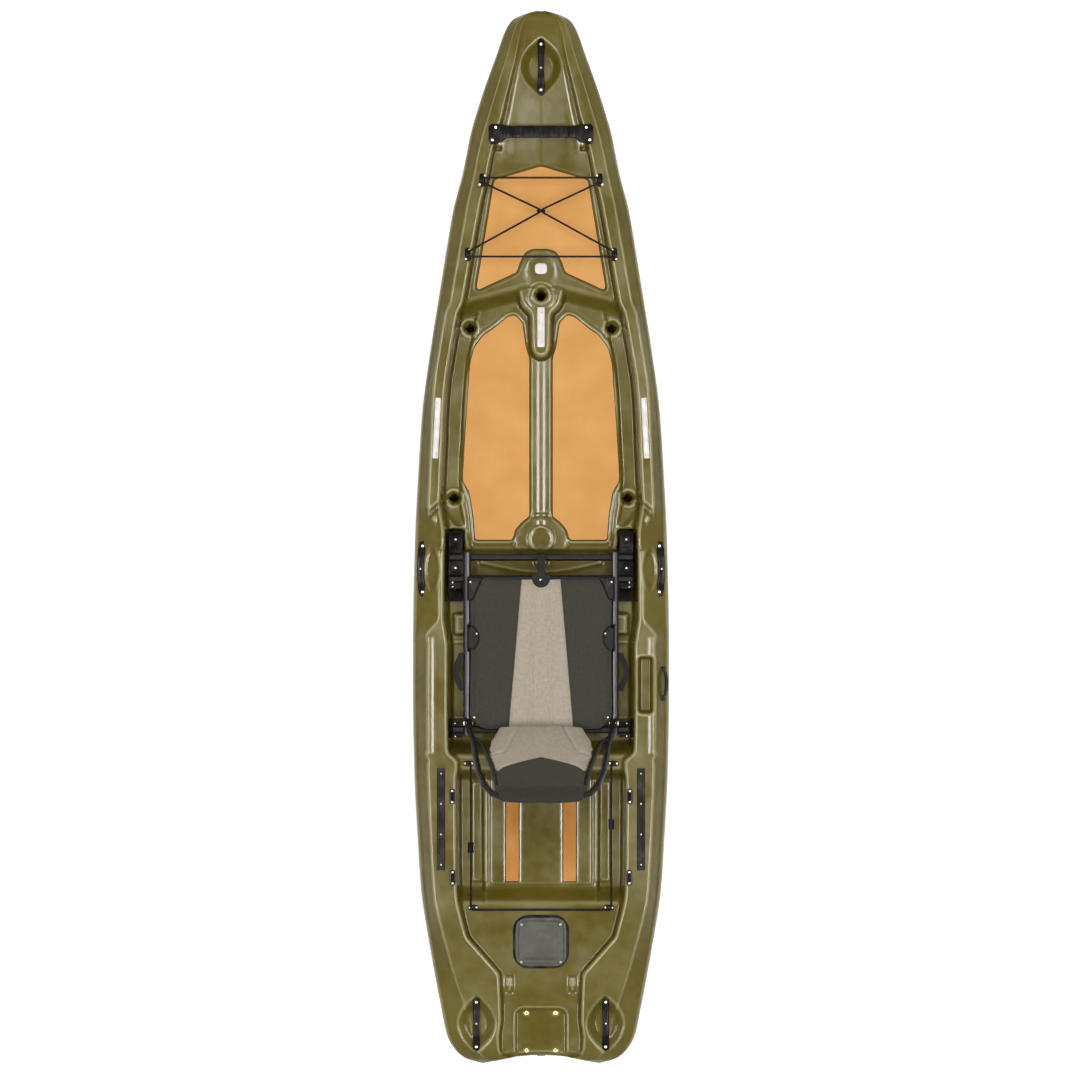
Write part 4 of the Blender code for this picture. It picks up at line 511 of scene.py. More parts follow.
class Shape:
    """A mesh in the making: rows of points joined to faces, each face with a material number."""

    def __init__(self) -> None:
        """Start with nothing."""
        self.points: list[np.ndarray] = []
        self.faces: list[tuple[int, ...]] = []
        self.slots: list[int] = []
        self.count = 0

    def add(self, points: np.ndarray) -> int:
        """Add points and return the number of the first.

        Args:
            points: the points to add.

        Returns:
            The first point's number.
        """
        first = self.count
        self.points.append(np.asarray(points, dtype=float).reshape(-1, 3))
        self.count += len(self.points[-1])
        return first

    def grid(self, rows: list[np.ndarray], slot: int | list[int] = 0, ring: bool = True, closed: bool = False,
             caps: bool = True) -> None:
        """Join rows of equal length by quads.

        Args:
            rows: the rows of 3-D points.
            slot: one material number, or one for each band between rows.
            ring: whether each row closes on itself.
            closed: whether the last row joins the first.
            caps: whether the first and last row are filled.
        """
        table = np.stack([np.asarray(row, dtype=float) for row in rows])
        first = self.add(table)
        total, wide = table.shape[:2]
        bands = total if closed else total - 1
        for i in range(bands):
            k = slot[i] if isinstance(slot, list) else slot
            for j in range(wide if ring else wide - 1):
                a, b = first + i * wide, first + (i + 1) % total * wide
                n = (j + 1) % wide
                self.faces.append((a + j, a + n, b + n, b + j))
                self.slots.append(k)
        if caps and ring and not closed:
            last = slot[-1] if isinstance(slot, list) else slot
            head = slot[0] if isinstance(slot, list) else slot
            self.faces.append(tuple(first + j for j in reversed(range(wide))))
            self.faces.append(tuple(first + (total - 1) * wide + j for j in range(wide)))
            self.slots += [head, last]

    def tube(self, path: np.ndarray, radius: float, sides: int = 12, slot: int = 0, closed: bool = False,
             squash: float = 1.0) -> None:
        """Sweep a round or flattened section along a path that is nearly level.

        Args:
            path: the middle line.
            radius: the radius in metres.
            sides: how many flat sides it has.
            slot: the material number.
            closed: whether the line closes on itself.
            squash: height of the section as a share of its width.
        """
        path = np.asarray(path, dtype=float)
        if closed:
            tangent = np.roll(path, -1, 0) - np.roll(path, 1, 0)
        else:
            tangent = np.gradient(path, axis=0)
        tangent /= np.linalg.norm(tangent, axis=1)[:, None]
        side = np.cross(tangent, (0.0, 0.0, 1.0))
        steep = np.linalg.norm(side, axis=1) < 0.2
        side[steep] = np.cross(tangent[steep], (0.0, 1.0, 0.0))
        side /= np.linalg.norm(side, axis=1)[:, None]
        for i in range(1, len(side)):
            if side[i] @ side[i - 1] < 0:
                side[i] *= -1
        up = np.cross(side, tangent)
        turns = np.arange(sides) * math.tau / sides
        rows = [p + radius * (np.cos(turns)[:, None] * s + squash * np.sin(turns)[:, None] * u)
                for p, s, u in zip(path, side, up)]
        self.grid(rows, slot, closed=closed)

    def lathe(self, profile: Pairs, centre: Point, axis: Point = (0, 0, 1), sides: int = 20,
              slot: int = 0) -> None:
        """Turn a profile of (radius, height) points about an axis from its foot.

        Args:
            profile: (radius, height) pairs in order.
            centre: the foot of the axis, in metres.
            axis: the direction it points in.
            sides: how many flat sides it has.
            slot: the material number.
        """
        up = Vector(axis).normalized()
        across = up.orthogonal().normalized()
        other = up.cross(across)
        turns = np.arange(sides) * math.tau / sides
        circle = np.outer(np.cos(turns), across) + np.outer(np.sin(turns), other)
        rows = [np.array(centre) + max(r, 1e-5) * circle + h * np.array(up) for r, h in profile]
        self.grid(rows, slot)

    def slab(self, outline: np.ndarray, layers: list[tuple[float, float | np.ndarray]],
             slot: int | list[int] = 0) -> None:
        """Stack an outline inset by each layer's first number at its second number's height.

        Args:
            outline: closed outline in metres.
            layers: (inset, height) pairs in order.
            slot: one material number, or one for each band.
        """
        rows = []
        for inset_by, height in layers:
            flat = inset(outline, inset_by)
            rows.append(np.column_stack((flat, np.broadcast_to(height, len(flat)))))
        self.grid(rows, slot)

    def screw(self, centre: Point, axis: Point = (0, 0, 1), radius: float = 0.0048, slot: int = 1) -> None:
        """A pan-head screw with a socket, standing on the centre point.

        Args:
            centre: where it stands, in metres.
            axis: the direction it points in.
            radius: the radius in metres.
            slot: the material number.
        """
        r = radius
        profile = ((r, -0.001), (r, 0.0006), (0.93 * r, 0.0014), (0.72 * r, 0.0023), (0.45 * r, 0.0027),
                   (0.40 * r, 0.0026), (0.36 * r, 0.0012), (0.0, 0.0012))
        self.lathe(profile, centre, axis, 16, slot)

    def put(self, name: str, materials: list[bpy.types.Material], body: str,
            instead: tuple[str, ...] = (), smooth: float = 40.0) -> bpy.types.Object:
        """Make the object, shade it and hang it on its body.

        Args:
            name: the piece's name.
            materials: its materials, in the order of the material numbers.
            body: the CAD body it rides on.
            instead: CAD nodes that it stands for.
            smooth: the angle in degrees over which an edge stays sharp.

        Returns:
            The new object.
        """
        mesh = bpy.data.meshes.new(name)
        mesh.from_pydata(np.concatenate(self.points).tolist(), [], self.faces)
        for material in materials:
            mesh.materials.append(material)
        mesh.polygons.foreach_set("material_index", self.slots)
        mesh.update()
        shape = bmesh.new()
        shape.from_mesh(mesh)
        bmesh.ops.recalc_face_normals(shape, faces=shape.faces)
        shape.to_mesh(mesh)
        shape.free()
        return place_piece(name, mesh, body, instead, smooth)


def place_piece(name: str, mesh: bpy.types.Mesh, body: str, instead: tuple[str, ...] = (),
                smooth: float = 40.0) -> bpy.types.Object:
    """Link a finished mesh, shade it and hang it on its body.

    Args:
        name: the piece's name.
        mesh: the finished mesh.
        body: the CAD body it rides on.
        instead: CAD nodes that it stands for.
        smooth: the angle in degrees over which an edge stays sharp.

    Returns:
        The new object.
    """
    mesh.shade_smooth()
    mesh.set_sharp_from_angle(angle=math.radians(smooth))
    item = bpy.data.objects.new(name, mesh)
    bpy.context.scene.collection.objects.link(item)
    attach(item, body)
    if instead:
        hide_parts(*instead)
    LOG.info("%s: %d faces on %s", name, len(mesh.polygons), body)
    return item


def inset(outline: np.ndarray, distance: float) -> np.ndarray:
    """Move a closed anticlockwise outline inwards by a distance.

    Args:
        outline: closed outline in metres.
        distance: how far, in metres.

    Returns:
        The moved outline.
    """
    before = np.roll(outline, 1, 0)
    after = np.roll(outline, -1, 0)
    first = outline - before
    second = after - outline
    first /= np.linalg.norm(first, axis=1)[:, None] + 1e-9
    second /= np.linalg.norm(second, axis=1)[:, None] + 1e-9
    normal = np.column_stack((-first[:, 1] - second[:, 1], first[:, 0] + second[:, 0]))
    length = np.linalg.norm(normal, axis=1)[:, None] + 1e-9
    normal /= length
    stretch = np.clip(2.0 / length, 1.0, 1.6)
    return outline + distance * stretch * normal


def anticlockwise(outline: np.ndarray) -> np.ndarray:
    """The outline turned so that its area is positive.

    Args:
        outline: closed outline in metres.

    Returns:
        The outline, turned if needed.
    """
    x, y = outline[:, 0], outline[:, 1]
    area = (x * np.roll(y, -1) - np.roll(x, -1) * y).sum()
    return outline if area > 0 else outline[::-1]


def rounded(corners: np.ndarray, radius: float, steps: int = 5) -> np.ndarray:
    """Round every corner of a closed outline.

    Args:
        corners: the sharp corners in order.
        radius: how far from its corner each round starts, in metres.
        steps: points in each round.

    Returns:
        The rounded outline.
    """
    out = []
    count = len(corners)
    for i in range(count):
        here = corners[i]
        legs = []
        for other in (corners[i - 1], corners[(i + 1) % count]):
            leg = other - here
            length = np.linalg.norm(leg)
            legs.append(here + leg / length * min(radius, 0.45 * length))
        for t in np.linspace(0, 1, steps):
            out.append((1 - t) ** 2 * legs[0] + 2 * t * (1 - t) * here + t * t * legs[1])
    return np.array(out)


def resample(outline: np.ndarray, step: float, closed: bool = True) -> np.ndarray:
    """Points about a step apart along a line.

    Args:
        outline: the points of the line in metres.
        step: spacing in metres.
        closed: whether the line closes on itself.

    Returns:
        The evenly spaced points.
    """
    line = np.vstack((outline, outline[:1])) if closed else np.asarray(outline, dtype=float)
    lengths = np.concatenate(([0.0], np.cumsum(np.linalg.norm(np.diff(line, axis=0), axis=1))))
    count = max(8, int(round(lengths[-1] / step)))
    at = np.linspace(0, lengths[-1], count + (0 if closed else 1), endpoint=not closed)
    return np.column_stack([np.interp(at, lengths, line[:, k]) for k in range(line.shape[1])])


def box_outline(half_x: float, half_y: float, corner: float, centre: tuple[float, float] = (0, 0),
                angle: float = 0.0) -> np.ndarray:
    """A rounded rectangle as a closed outline.

    Args:
        half_x: half its width.
        half_y: half its length.
        corner: the corner radius.
        centre: its middle, in metres.
        angle: its turn in radians.

    Returns:
        The closed outline.
    """
    sharp = np.array([(-half_x, -half_y), (half_x, -half_y), (half_x, half_y), (-half_x, half_y)])
    flat = rounded(sharp, corner, 6)
    c, s = math.cos(angle), math.sin(angle)
    return flat @ np.array([[c, s], [-s, c]]) + np.array(centre)


def mirrored(half: Pairs, unit_x: float = 1.0, unit_y: float = 1.0) -> np.ndarray:
    """A closed outline from its starboard half, drawn from centre line to centre line.

    Args:
        half: the starboard half's points.
        unit_x: scale across.
        unit_y: scale along.

    Returns:
        The closed outline.
    """
    right = np.array(half) * (unit_x, unit_y)
    left = right[::-1] * (-1, 1)
    return np.vstack((right, left[1:-1] if abs(right[0, 0]) < 1e-6 else left))


def smooth_line(points: list | np.ndarray, count: int = 48, closed: bool = False) -> np.ndarray:
    """A curve through points, evenly read.

    Args:
        points: the points.
        count: how many points to read.
        closed: whether the line closes on itself.

    Returns:
        The points along the curve.
    """
    pts = np.asarray(points, dtype=float)
    if closed:
        pts = np.vstack((pts[-1], pts, pts[0], pts[1]))
    else:
        pts = np.vstack((2 * pts[0] - pts[1], pts, 2 * pts[-1] - pts[-2]))
    spans = len(pts) - 3
    out = []
    for t in np.linspace(0, spans, count, endpoint=not closed):
        i = min(int(t), spans - 1)
        f = t - i
        a, b, c, d = pts[i:i + 4]
        out.append(0.5 * (2 * b + (c - a) * f + (2 * a - 5 * b + 4 * c - d) * f * f
                          + (3 * b - a - 3 * c + d) * f ** 3))
    return np.array(out)


# The moulded hull

PLAN = ((1.0, .07), (.996, .139), (.984, .229), (.965, .278), (.923, .34), (.874, .414), (.826, .481),
        (.775, .543), (.697, .609), (.627, .683), (.56, .731), (.494, .775), (.363, .861), (.244, .926),
        (.126, .958), (0.0, .984), (-.2, 1.0), (-.303, 1.0), (-.436, .991), (-.579, .962), (-.667, .938),
        (-.789, .861), (-.895, .78), (-.948, .734), (-.975, .671), (-.99, .597), (-1.0, .463))
KEEL = ((50, .25), (49.3, .19), (48, .13), (45, .075), (40, .032), (34, .01), (26, 0), (-36, 0), (-44, .018),
        (-48, .05), (-49.3, .08), (-50, .13))
TUNNEL = ((50, 0), (45, 0), (40, .02), (30, .045), (-40, .05), (-50, .03))
RIM = ((50, .335), (48, .345), (40, .32), (26, .29), (0, .255), (-50, .235))
CROWN = ((50, .372), (49.3, .398), (45, .405), (22.45, .357), (14, .345), (-35.5, .345), (-42.5, .325),
         (-48, .318), (-49.3, .305), (-50, .27))
DECK = ((50, .366), (49.3, .388), (48, .394), (45, .39), (40, .364), (36, .34), (22.45, .305), (21.5, .235),
        (-.9, .235), (-1.3, .2), (-19.6, .2), (-20.3, .325), (-21.9, .325), (-22.6, .235), (-33.4, .235),
        (-34.4, .3), (-42.5, .3), (-44, .29), (-49.3, .29), (-50, .262))
DECK_CROWN = ((50, 0), (48, .004), (45, .012), (40, .014), (36, 0), (-50, 0))
CHANNEL = ((21.5, 0), (20.9, .013), (3.2, .013), (.9, 0), (-21.9, 0), (-22.6, .02), (-33.4, .02), (-34.4, 0))
CHANNEL_WIDTH = ((21.5, 5.8), (.9, 6.4), (-21.9, 9.0), (-34.4, 9.0))
GUNWALE = ((50, 2.1), (49.3, 5.3), (45, 8.3), (42.8, 9.3), (40, 10.4), (36, 9.6), (30.7, 10.3), (22.45, 9.8),
           (21.5, 8.6), (15.6, 8.1), (9.6, 9.1), (3.2, 9.4), (.9, 11.7), (-7.6, 12.3), (-9.9, 13.9),
           (-20.3, 13.7), (-20.9, 17.0), (-34.4, 14.1), (-37.7, 15.3), (-41.2, 25.3), (-43.9, 23.7),
           (-46, 22.2), (-48, 19.1), (-49.3, 15.6), (-50, 10.4))
LEDGE = ((50, .7), (49.3, 1.7), (45, 3.5), (40, 4.9), (3.2, 4.6), (.9, 2.3), (-7.6, 2.1), (-9, 8.1),
         (-20.3, 8.3), (-20.9, 11.3), (-34.4, 8.9), (-37.7, 8.7), (-41.2, 17.4), (-48, 9.3), (-50, 4.6))
SCUPPERS = ((0.0, 23.3, .0125), (27.8, 20.3, .0107), (-27.8, 20.3, .0107), (34.1, 4.0, .0107),
            (-34.1, 4.0, .0107))
FRONT_PAD = ((0, 35.5), (18.4, 34.2), (19.0, 33.3), (21.3, 29.9), (25.3, 24.0), (24.4, 23.7), (9.2, 25.4),
             (8.0, 26.3), (6.0, 27.3), (3.0, 27.6), (0, 27.6))
STANDING_PAD = ((10.1, 21.6), (7.0, 20.8), (5.8, 18.6), (4.3, 17.4), (4.3, 2.2), (7.0, 1.75), (9.7, 1.0),
                (11.0, -.05), (26.0, -.05), (26.8, 2.5), (28.3, 4.6), (30.8, 5.6), (30.8, 6.3), (29.6, 11.3),
                (28.0, 16.9), (26.4, 18.4), (22.9, 19.6), (18.6, 20.3), (13.2, 21.4))
CONSOLE = ((0, 17.4), (2.3, 17.6), (3.6, 18.3), (3.9, 21.6), (7.2, 22.3), (8.3, 23.1), (8.3, 24.6),
           (7.2, 26.2), (5.4, 27.1), (2.8, 27.35), (0, 27.4))


def read_curve(points: Pairs, at: np.ndarray, blur: float) -> np.ndarray:
    """Read a curve given by (station, value) points, softened over blur metres.

    Args:
        points: (station, value) pairs.
        at: the places to read it at.
        blur: how far it is softened, in metres.

    Returns:
        The read values.
    """
    fine = np.linspace(-60, 60, 6001)
    table = np.array(sorted(points), dtype=float)
    value = np.interp(fine, table[:, 0], table[:, 1])
    if blur > 0:
        spread = blur / STATION / (fine[1] - fine[0])
        reach = np.arange(-int(4 * spread), int(4 * spread) + 1)
        kernel = np.exp(-0.5 * (reach / spread) ** 2)
        value = np.convolve(np.pad(value, len(reach) // 2, mode="edge"), kernel / kernel.sum(), "valid")
    return np.interp(at, fine, value)


def smooth_share(at: np.ndarray) -> np.ndarray:
    """Half width of the hull as a share of the widest, by a curve that never overshoots.

    Args:
        at: the places to read it at.

    Returns:
        The shares, from 0 to 1.
    """
    table = np.array(sorted(PLAN))
    x, y = table.T
    slope = np.diff(y) / np.diff(x)
    rate = np.zeros(len(x))
    rate[1:-1] = np.where(slope[:-1] * slope[1:] > 0,
                          2 * slope[:-1] * slope[1:] / (slope[:-1] + slope[1:] + 1e-12), 0.0)
    rate[0], rate[-1] = slope[0], slope[-1]
    i = np.clip(np.searchsorted(x, at) - 1, 0, len(x) - 2)
    h = x[i + 1] - x[i]
    t = (at - x[i]) / h
    return ((1 + 2 * t) * (1 - t) ** 2 * y[i] + t * (1 - t) ** 2 * h * rate[i]
            + t * t * (3 - 2 * t) * y[i + 1] + t * t * (t - 1) * h * rate[i + 1])


def ease(value: np.ndarray) -> np.ndarray:
    """A smooth step from 0 to 1."""
    v = np.clip(value, 0.0, 1.0)
    return v * v * (3 - 2 * v)


def inside(outline: np.ndarray, x: np.ndarray, y: np.ndarray) -> np.ndarray:
    """Signed distance to a closed outline, positive inside.

    Args:
        outline: closed outline in metres.
        x: places across.
        y: places along.

    Returns:
        The distances in metres.
    """
    best = np.full(x.shape, 1e9)
    odd = np.zeros(x.shape, dtype=bool)
    for (x0, y0), (x1, y1) in zip(outline, np.roll(outline, -1, 0)):
        dx, dy = x1 - x0, y1 - y0
        t = np.clip(((x - x0) * dx + (y - y0) * dy) / (dx * dx + dy * dy + 1e-12), 0, 1)
        best = np.minimum(best, np.hypot(x - x0 - t * dx, y - y0 - t * dy))
        crosses = (y0 > y) != (y1 > y)
        odd ^= crosses & (x < dx * (y - y0) / (dy if dy else 1e-12) + x0)
    return np.where(odd, best, -best)


def lens(half_x: float, half_y: float, centre: tuple[float, float], angle: float = 0.0) -> np.ndarray:
    """A pointed oval.

    Args:
        half_x: half its width.
        half_y: half its length.
        centre: its middle, in metres.
        angle: its turn in radians.

    Returns:
        The closed outline.
    """
    t = np.linspace(-1, 1, 16)
    side = half_x * (1 - t * t)
    flat = np.vstack((np.column_stack((side, half_y * t)),
                      np.column_stack((-side[::-1], half_y * t[::-1]))[1:-1]))
    c, s = math.cos(angle), math.sin(angle)
    return flat @ np.array([[c, s], [-s, c]]) + np.array(centre)


@dataclass
class HullShell:
    """The one-piece moulded hull: its top read as a dense field of heights, its bottom lofted."""

    rows: int = 1009
    columns: int = 251
    belly: int = 73
    draft: float = 0.010
    blend: float = 0.0030
    stern_shares: tuple[float, ...] = (0.88, 0.70, 0.50, 0.30, 0.12)
    stern_middle: float = 0.205
    stern_dish: float = 0.030
    body: str = "hull_body"

    def __post_init__(self) -> None:
        """Lay out the grid and read the plain sections."""
        self.s = np.linspace(-50, 50, self.rows)
        self.half = HALF_BEAM * smooth_share(self.s / 50)
        u = np.linspace(-1, 1, self.columns)
        self.x = self.half[:, None] * u[None, :]
        self.station = np.broadcast_to(self.s[:, None], self.x.shape)
        self.hollow = self.stern_dish * np.clip(1 - (self.x / (0.23 * 2 * HALF_BEAM)) ** 2, 0, None)
        self.hollow *= np.clip((-self.station - 45) / 5, 0, 1)
        self.y = self.station * STATION + self.hollow
        self.z = self.plain_top()

    def wall_line(self, station: np.ndarray | float) -> np.ndarray:
        """Half width inside the gunwales."""
        s = np.asarray(station, dtype=float)
        return HALF_BEAM * smooth_share(s / 50) - BUTTOCK * read_curve(GUNWALE, s, 0.006)

    def plain_top(self) -> np.ndarray:
        """Heights of deck, wall, ledge and outer slope, before any feature.

        Returns:
            Heights over the grid, in metres.
        """
        s = self.s
        x = np.abs(self.x)
        half = self.half[:, None]
        rim = read_curve(RIM, s, 0.03)[:, None]
        crown = read_curve(CROWN, s, 0.02)[:, None]
        rise = crown - rim
        wall = self.wall_line(s)[:, None]
        ledge = BUTTOCK * read_curve(LEDGE, s, 0.010)[:, None]
        sweep = 1.6 * np.clip(1.25 - x / (0.26 * 2 * HALF_BEAM), 0, 1)
        at = self.station
        sweep = sweep * ease((34 - at) / 8) * ease((at - 17) / 3)
        moved = at - sweep
        deck = read_curve(DECK, moved, 0.007)
        crest = read_curve(DECK_CROWN, s, 0.03)[:, None]
        foot = wall - self.draft
        depth = read_curve(CHANNEL, moved, 0.007)
        wide = BUTTOCK * read_curve(CHANNEL_WIDTH, s, 0.006)[:, None]
        edge = np.maximum(foot - wide, 0.45 * wall)
        floor = deck + crest * (1 - np.clip(x / foot, 0, 1) ** 2)
        floor = floor - depth * ease((x - edge + 0.009) / 0.012)
        top = np.maximum(crown, floor)
        z = floor + (top - floor) * ease((x - foot + 0.001) / 0.012)
        inner = np.minimum(wall + ledge, half - 0.25 * rise)
        outer = half - 0.16 * rise
        middle = rim + 0.42 * rise
        t = np.clip((x - inner) / np.maximum(outer - inner, 1e-4), 0, 1)
        z = np.where(x > inner, crown + (middle - crown) * (0.9 * t + 0.1 * t * t), z)
        t = np.clip((x - outer) / np.maximum(half - outer, 1e-4), 0, 1)
        z = np.where(x > outer, rim + (middle - rim) * np.sqrt(np.clip(1 - t * t, 0, 1)), z)
        return z

    def window(self, low: float, high: float) -> slice:
        """The rows between two lengthwise places in metres.

        Args:
            low: the lower place in metres.
            high: the upper place in metres.

        Returns:
            The rows as a slice.
        """
        first = np.searchsorted(self.s, low / STATION - 1)
        last = np.searchsorted(self.s, high / STATION + 1)
        return slice(max(0, first), min(self.rows, last))

    def press(self, outline: np.ndarray, height: float | None, slope: float, by: float | None = None,
              lower: bool | None = None) -> None:
        """Move the surface inside an outline to a height, or by a depth, over a slope's width.

        Args:
            outline: closed outline in metres.
            height: the height inside it, or None where by is given.
            slope: how far the flank runs inwards.
            by: how much the surface rises, instead of a height.
            lower: True keeps only lowering, False only raising, None both.
        """
        rows = self.window(outline[:, 1].min() - 0.03, outline[:, 1].max() + 0.03)
        x, y, z = self.x[rows], self.y[rows], self.z[rows]
        near = (np.abs(x - outline[:, 0].mean()) < np.ptp(outline[:, 0]) / 2 + 0.03)
        share = np.zeros(x.shape)
        share[near] = ease(inside(outline, x[near], y[near]) / slope + 0.5)
        new = z + by if height is None else np.full(z.shape, height)
        if lower is True:
            new = np.minimum(z, new)
        elif lower is False:
            new = np.maximum(z, new)
        self.z[rows] = z + (new - z) * share

    def ridge(self, line: np.ndarray, width: float, height: float) -> None:
        """Raise or sink a soft line along points, height metres at its middle.

        Args:
            line: the points of the line.
            width: its width in metres.
            height: its height in metres.
        """
        rows = self.window(line[:, 1].min() - 0.05, line[:, 1].max() + 0.05)
        x, y = self.x[rows], self.y[rows]
        best = np.full(x.shape, 1e9)
        for (x0, y0), (x1, y1) in zip(line[:-1], line[1:]):
            dx, dy = x1 - x0, y1 - y0
            t = np.clip(((x - x0) * dx + (y - y0) * dy) / (dx * dx + dy * dy + 1e-12), 0, 1)
            best = np.minimum(best, np.hypot(x - x0 - t * dx, y - y0 - t * dy))
        self.z[rows] += height * np.exp(-0.5 * (best / (width / 2)) ** 2)

    def well(self, centre: tuple[float, float], bore: float, mouth: float, funnel: float, rim: float) -> None:
        """A scupper: a bore, a funnel round it and a raised ring at its mouth.

        Args:
            centre: its middle, in metres.
            bore: radius of the hole.
            mouth: radius of its mouth.
            funnel: depth of the funnel.
            rim: height of the raised ring.
        """
        rows = self.window(centre[1] - 0.08, centre[1] + 0.08)
        x, y, z = self.x[rows], self.y[rows], self.z[rows]
        r = np.hypot(x - centre[0], y - centre[1])
        z = z + rim * np.exp(-0.5 * ((r - mouth) / 0.0035) ** 2)
        z = z - funnel * ease((mouth - 0.003 - r) / (mouth - 0.003 - bore - 0.003))
        z = np.where(r < bore, np.minimum(z, 0.075), z)
        self.z[rows] = z

    def deck_at(self, x: float, y: float) -> float:
        """Height of the finished top under a place, in metres.

        Args:
            x: place across, in metres.
            y: place along, in metres.

        Returns:
            The height in metres.
        """
        row = int(np.clip(np.searchsorted(self.s, y / STATION), 1, self.rows - 1))
        t = (y / STATION - self.s[row - 1]) / (self.s[row] - self.s[row - 1])
        pair = [np.interp(x, self.x[i], self.z[i]) for i in (row - 1, row)]
        return float(pair[0] * (1 - t) + pair[1] * t)

    def shape_bow(self) -> None:
        """Handle recess, strap pockets and the streaked chines of the bow deck."""
        self.press(anticlockwise(lens(0.055, 0.083, (0, 44.65 * STATION))), None, 0.036, by=-0.034)
        for side in (-1, 1):
            pocket = box_outline(0.011, 0.006, 0.003, (side * 0.143, 1.309))
            self.press(pocket, None, 0.006, by=-0.010)
            chine = np.array([(side * 0.052, 1.70), (side * 0.085, 1.52), (side * 0.12, 1.31),
                              (side * 0.15, 1.24)])
            self.ridge(chine[:3], 0.030, 0.0035)
        self.ridge(np.array([(0, 1.46), (0, 1.28)]), 0.040, 0.0030)
        ring = rounded(mirrored(FRONT_PAD, BUTTOCK, STATION), 0.012)
        self.press(inset(anticlockwise(ring), -0.004), None, 0.006, by=-0.0035)

    def shape_console(self) -> None:
        """Keyhole console, the arched opening before it and its scupper cup."""
        body = rounded(mirrored(CONSOLE, BUTTOCK, STATION), 0.015)
        self.press(anticlockwise(inset(anticlockwise(body), -0.003)), 0.296, 0.014, lower=False)
        dish = lens(0.050, 0.078, (0, 0.900))
        self.press(dish, None, 0.022, by=-0.003)
        self.press(box_outline(0.0175, 0.0715, 0.006, (0, 20.25 * STATION)), 0.2952, 0.005, lower=True)
        turns = np.linspace(0, math.tau, 48)
        cup_radius, cup_place = 0.043, 0.8225
        cup = np.column_stack((cup_radius * np.cos(turns), cup_place + cup_radius * np.sin(turns)))
        self.ridge(cup, 0.006, 0.0035)

    def shape_standing(self) -> None:
        """Spine, pad beds and notches of the standing deck."""
        spine = np.array([(-0.030, 0.09), (0.030, 0.09), (0.030, 0.63), (-0.030, 0.63)])
        self.press(spine, None, 0.010, by=0.004)
        self.ridge(np.array([(0, 0.055), (0, 0.60)]), 0.018, 0.0035)
        flare = np.array([(-0.090, -0.032), (0.090, -0.032), (0.086, 0.004), (0.066, 0.046), (0.030, 0.075),
                          (-0.030, 0.075), (-0.066, 0.046), (-0.086, 0.004)])
        self.press(rounded(flare, 0.02), None, 0.010, by=0.005)
        turns = np.linspace(0, math.tau, 40, endpoint=False)
        circle = np.column_stack((0.043 * np.cos(turns), 0.043 * np.sin(turns) + 0.004))
        self.press(circle, None, 0.006, by=0.005)
        self.press(circle * 0.86 + (0, 0.0006), None, 0.006, by=-0.004)
        for side in (-1, 1):
            bed = rounded(np.array(STANDING_PAD) * (side * BUTTOCK, STATION), 0.012)
            bed = anticlockwise(bed)
            self.press(inset(bed, -0.009), None, 0.007, by=0.0045)
            self.press(inset(bed, -0.003), None, 0.005, by=-0.004)
            notch = np.array([(0.318, 0.125), (0.372, 0.070), (0.372, 0.10), (0.333, 0.135)]) * (side, 1)
            self.press(anticlockwise(notch), None, 0.012, by=-0.010)
            facet = np.array([(0.338, 0.112), (0.335, -0.028), (0.243, -0.028), (0.243, -0.006)]) * (side, 1)
            self.press(anticlockwise(facet), None, 0.020, by=0.016)
        for x, s, bore in SCUPPERS:
            self.well((x * BUTTOCK, s * STATION), bore, 0.0295, 0.014 if x else 0.012, 0.0042)

    def shape_seat_well(self) -> None:
        """Side pockets, blocks and floor lines round the seat."""
        wall = float(self.wall_line(-1.63))
        for side in (-1, 1):
            low, high = 0.2596, wall - 0.011
            centre = (side * (low + high) / 2, -0.0170)
            self.press(box_outline((high - low) / 2, 0.0525, 0.008, centre), 0.2005, 0.006)
            lug = box_outline(0.020, 0.033, 0.006, (side * 0.273, -0.284))
            self.press(lug, None, 0.010, by=0.022)
            self.ridge(np.array([(side * 0.05, -0.344), (side * 0.29, -0.344)]), 0.010, 0.004)
            self.ridge(np.array([(side * 0.05, -0.602), (side * 0.29, -0.602)]), 0.010, 0.004)
            shelf = np.array([(side * 0.372, -0.33), (side * 0.372, -0.71)])
            self.ridge(shelf, 0.016, 0.004)
        self.press(box_outline(0.020, 0.010, 0.006, (0, -0.073)), None, 0.008, by=0.010)
        arch = smooth_line([(-0.20, -0.075), (-0.08, -0.100), (0, -0.106), (0.08, -0.100),
                            (0.20, -0.075)], 16)
        self.ridge(arch, 0.012, 0.005)
        pocket = box_outline(0.023, 0.0935, 0.012, (float(self.wall_line(-13.75)) + 0.0375, -0.4855))
        self.press(pocket, 0.313, 0.008)

    def shape_rear(self) -> None:
        """Tankwell, track grooves, hatch bed and mount recess."""
        well = box_outline(0.172, 0.184, 0.012, (0, -0.978))
        self.press(well, None, 0.008, by=0.004)
        for side in (-1, 1):
            strip = box_outline(0.026, 0.168, 0.010, (side * 0.208, -0.985))
            self.press(strip, None, 0.008, by=0.006)
            bed = box_outline(0.0270, 0.1675, 0.006, (side * 0.0966, -28.05 * STATION))
            self.press(bed, None, 0.004, by=-0.002)
            mark = box_outline(0.0125, 0.030, 0.003, (side * 0.106, -1.493))
            self.press(mark, None, 0.004, by=-0.004)
            self.press(inset(mark, 0.007), None, 0.003, by=0.003)
        bed = box_outline(0.096, 0.092, 0.050, (0, -38.2 * STATION))
        self.press(bed, 0.300, 0.008)
        mount = np.array([(-0.085, -44.6 * STATION), (0.085, -44.6 * STATION),
                          (0.085, -1.80), (-0.085, -1.80)])
        self.press(anticlockwise(rounded(mount, 0.030)), 0.282, 0.008, lower=True)

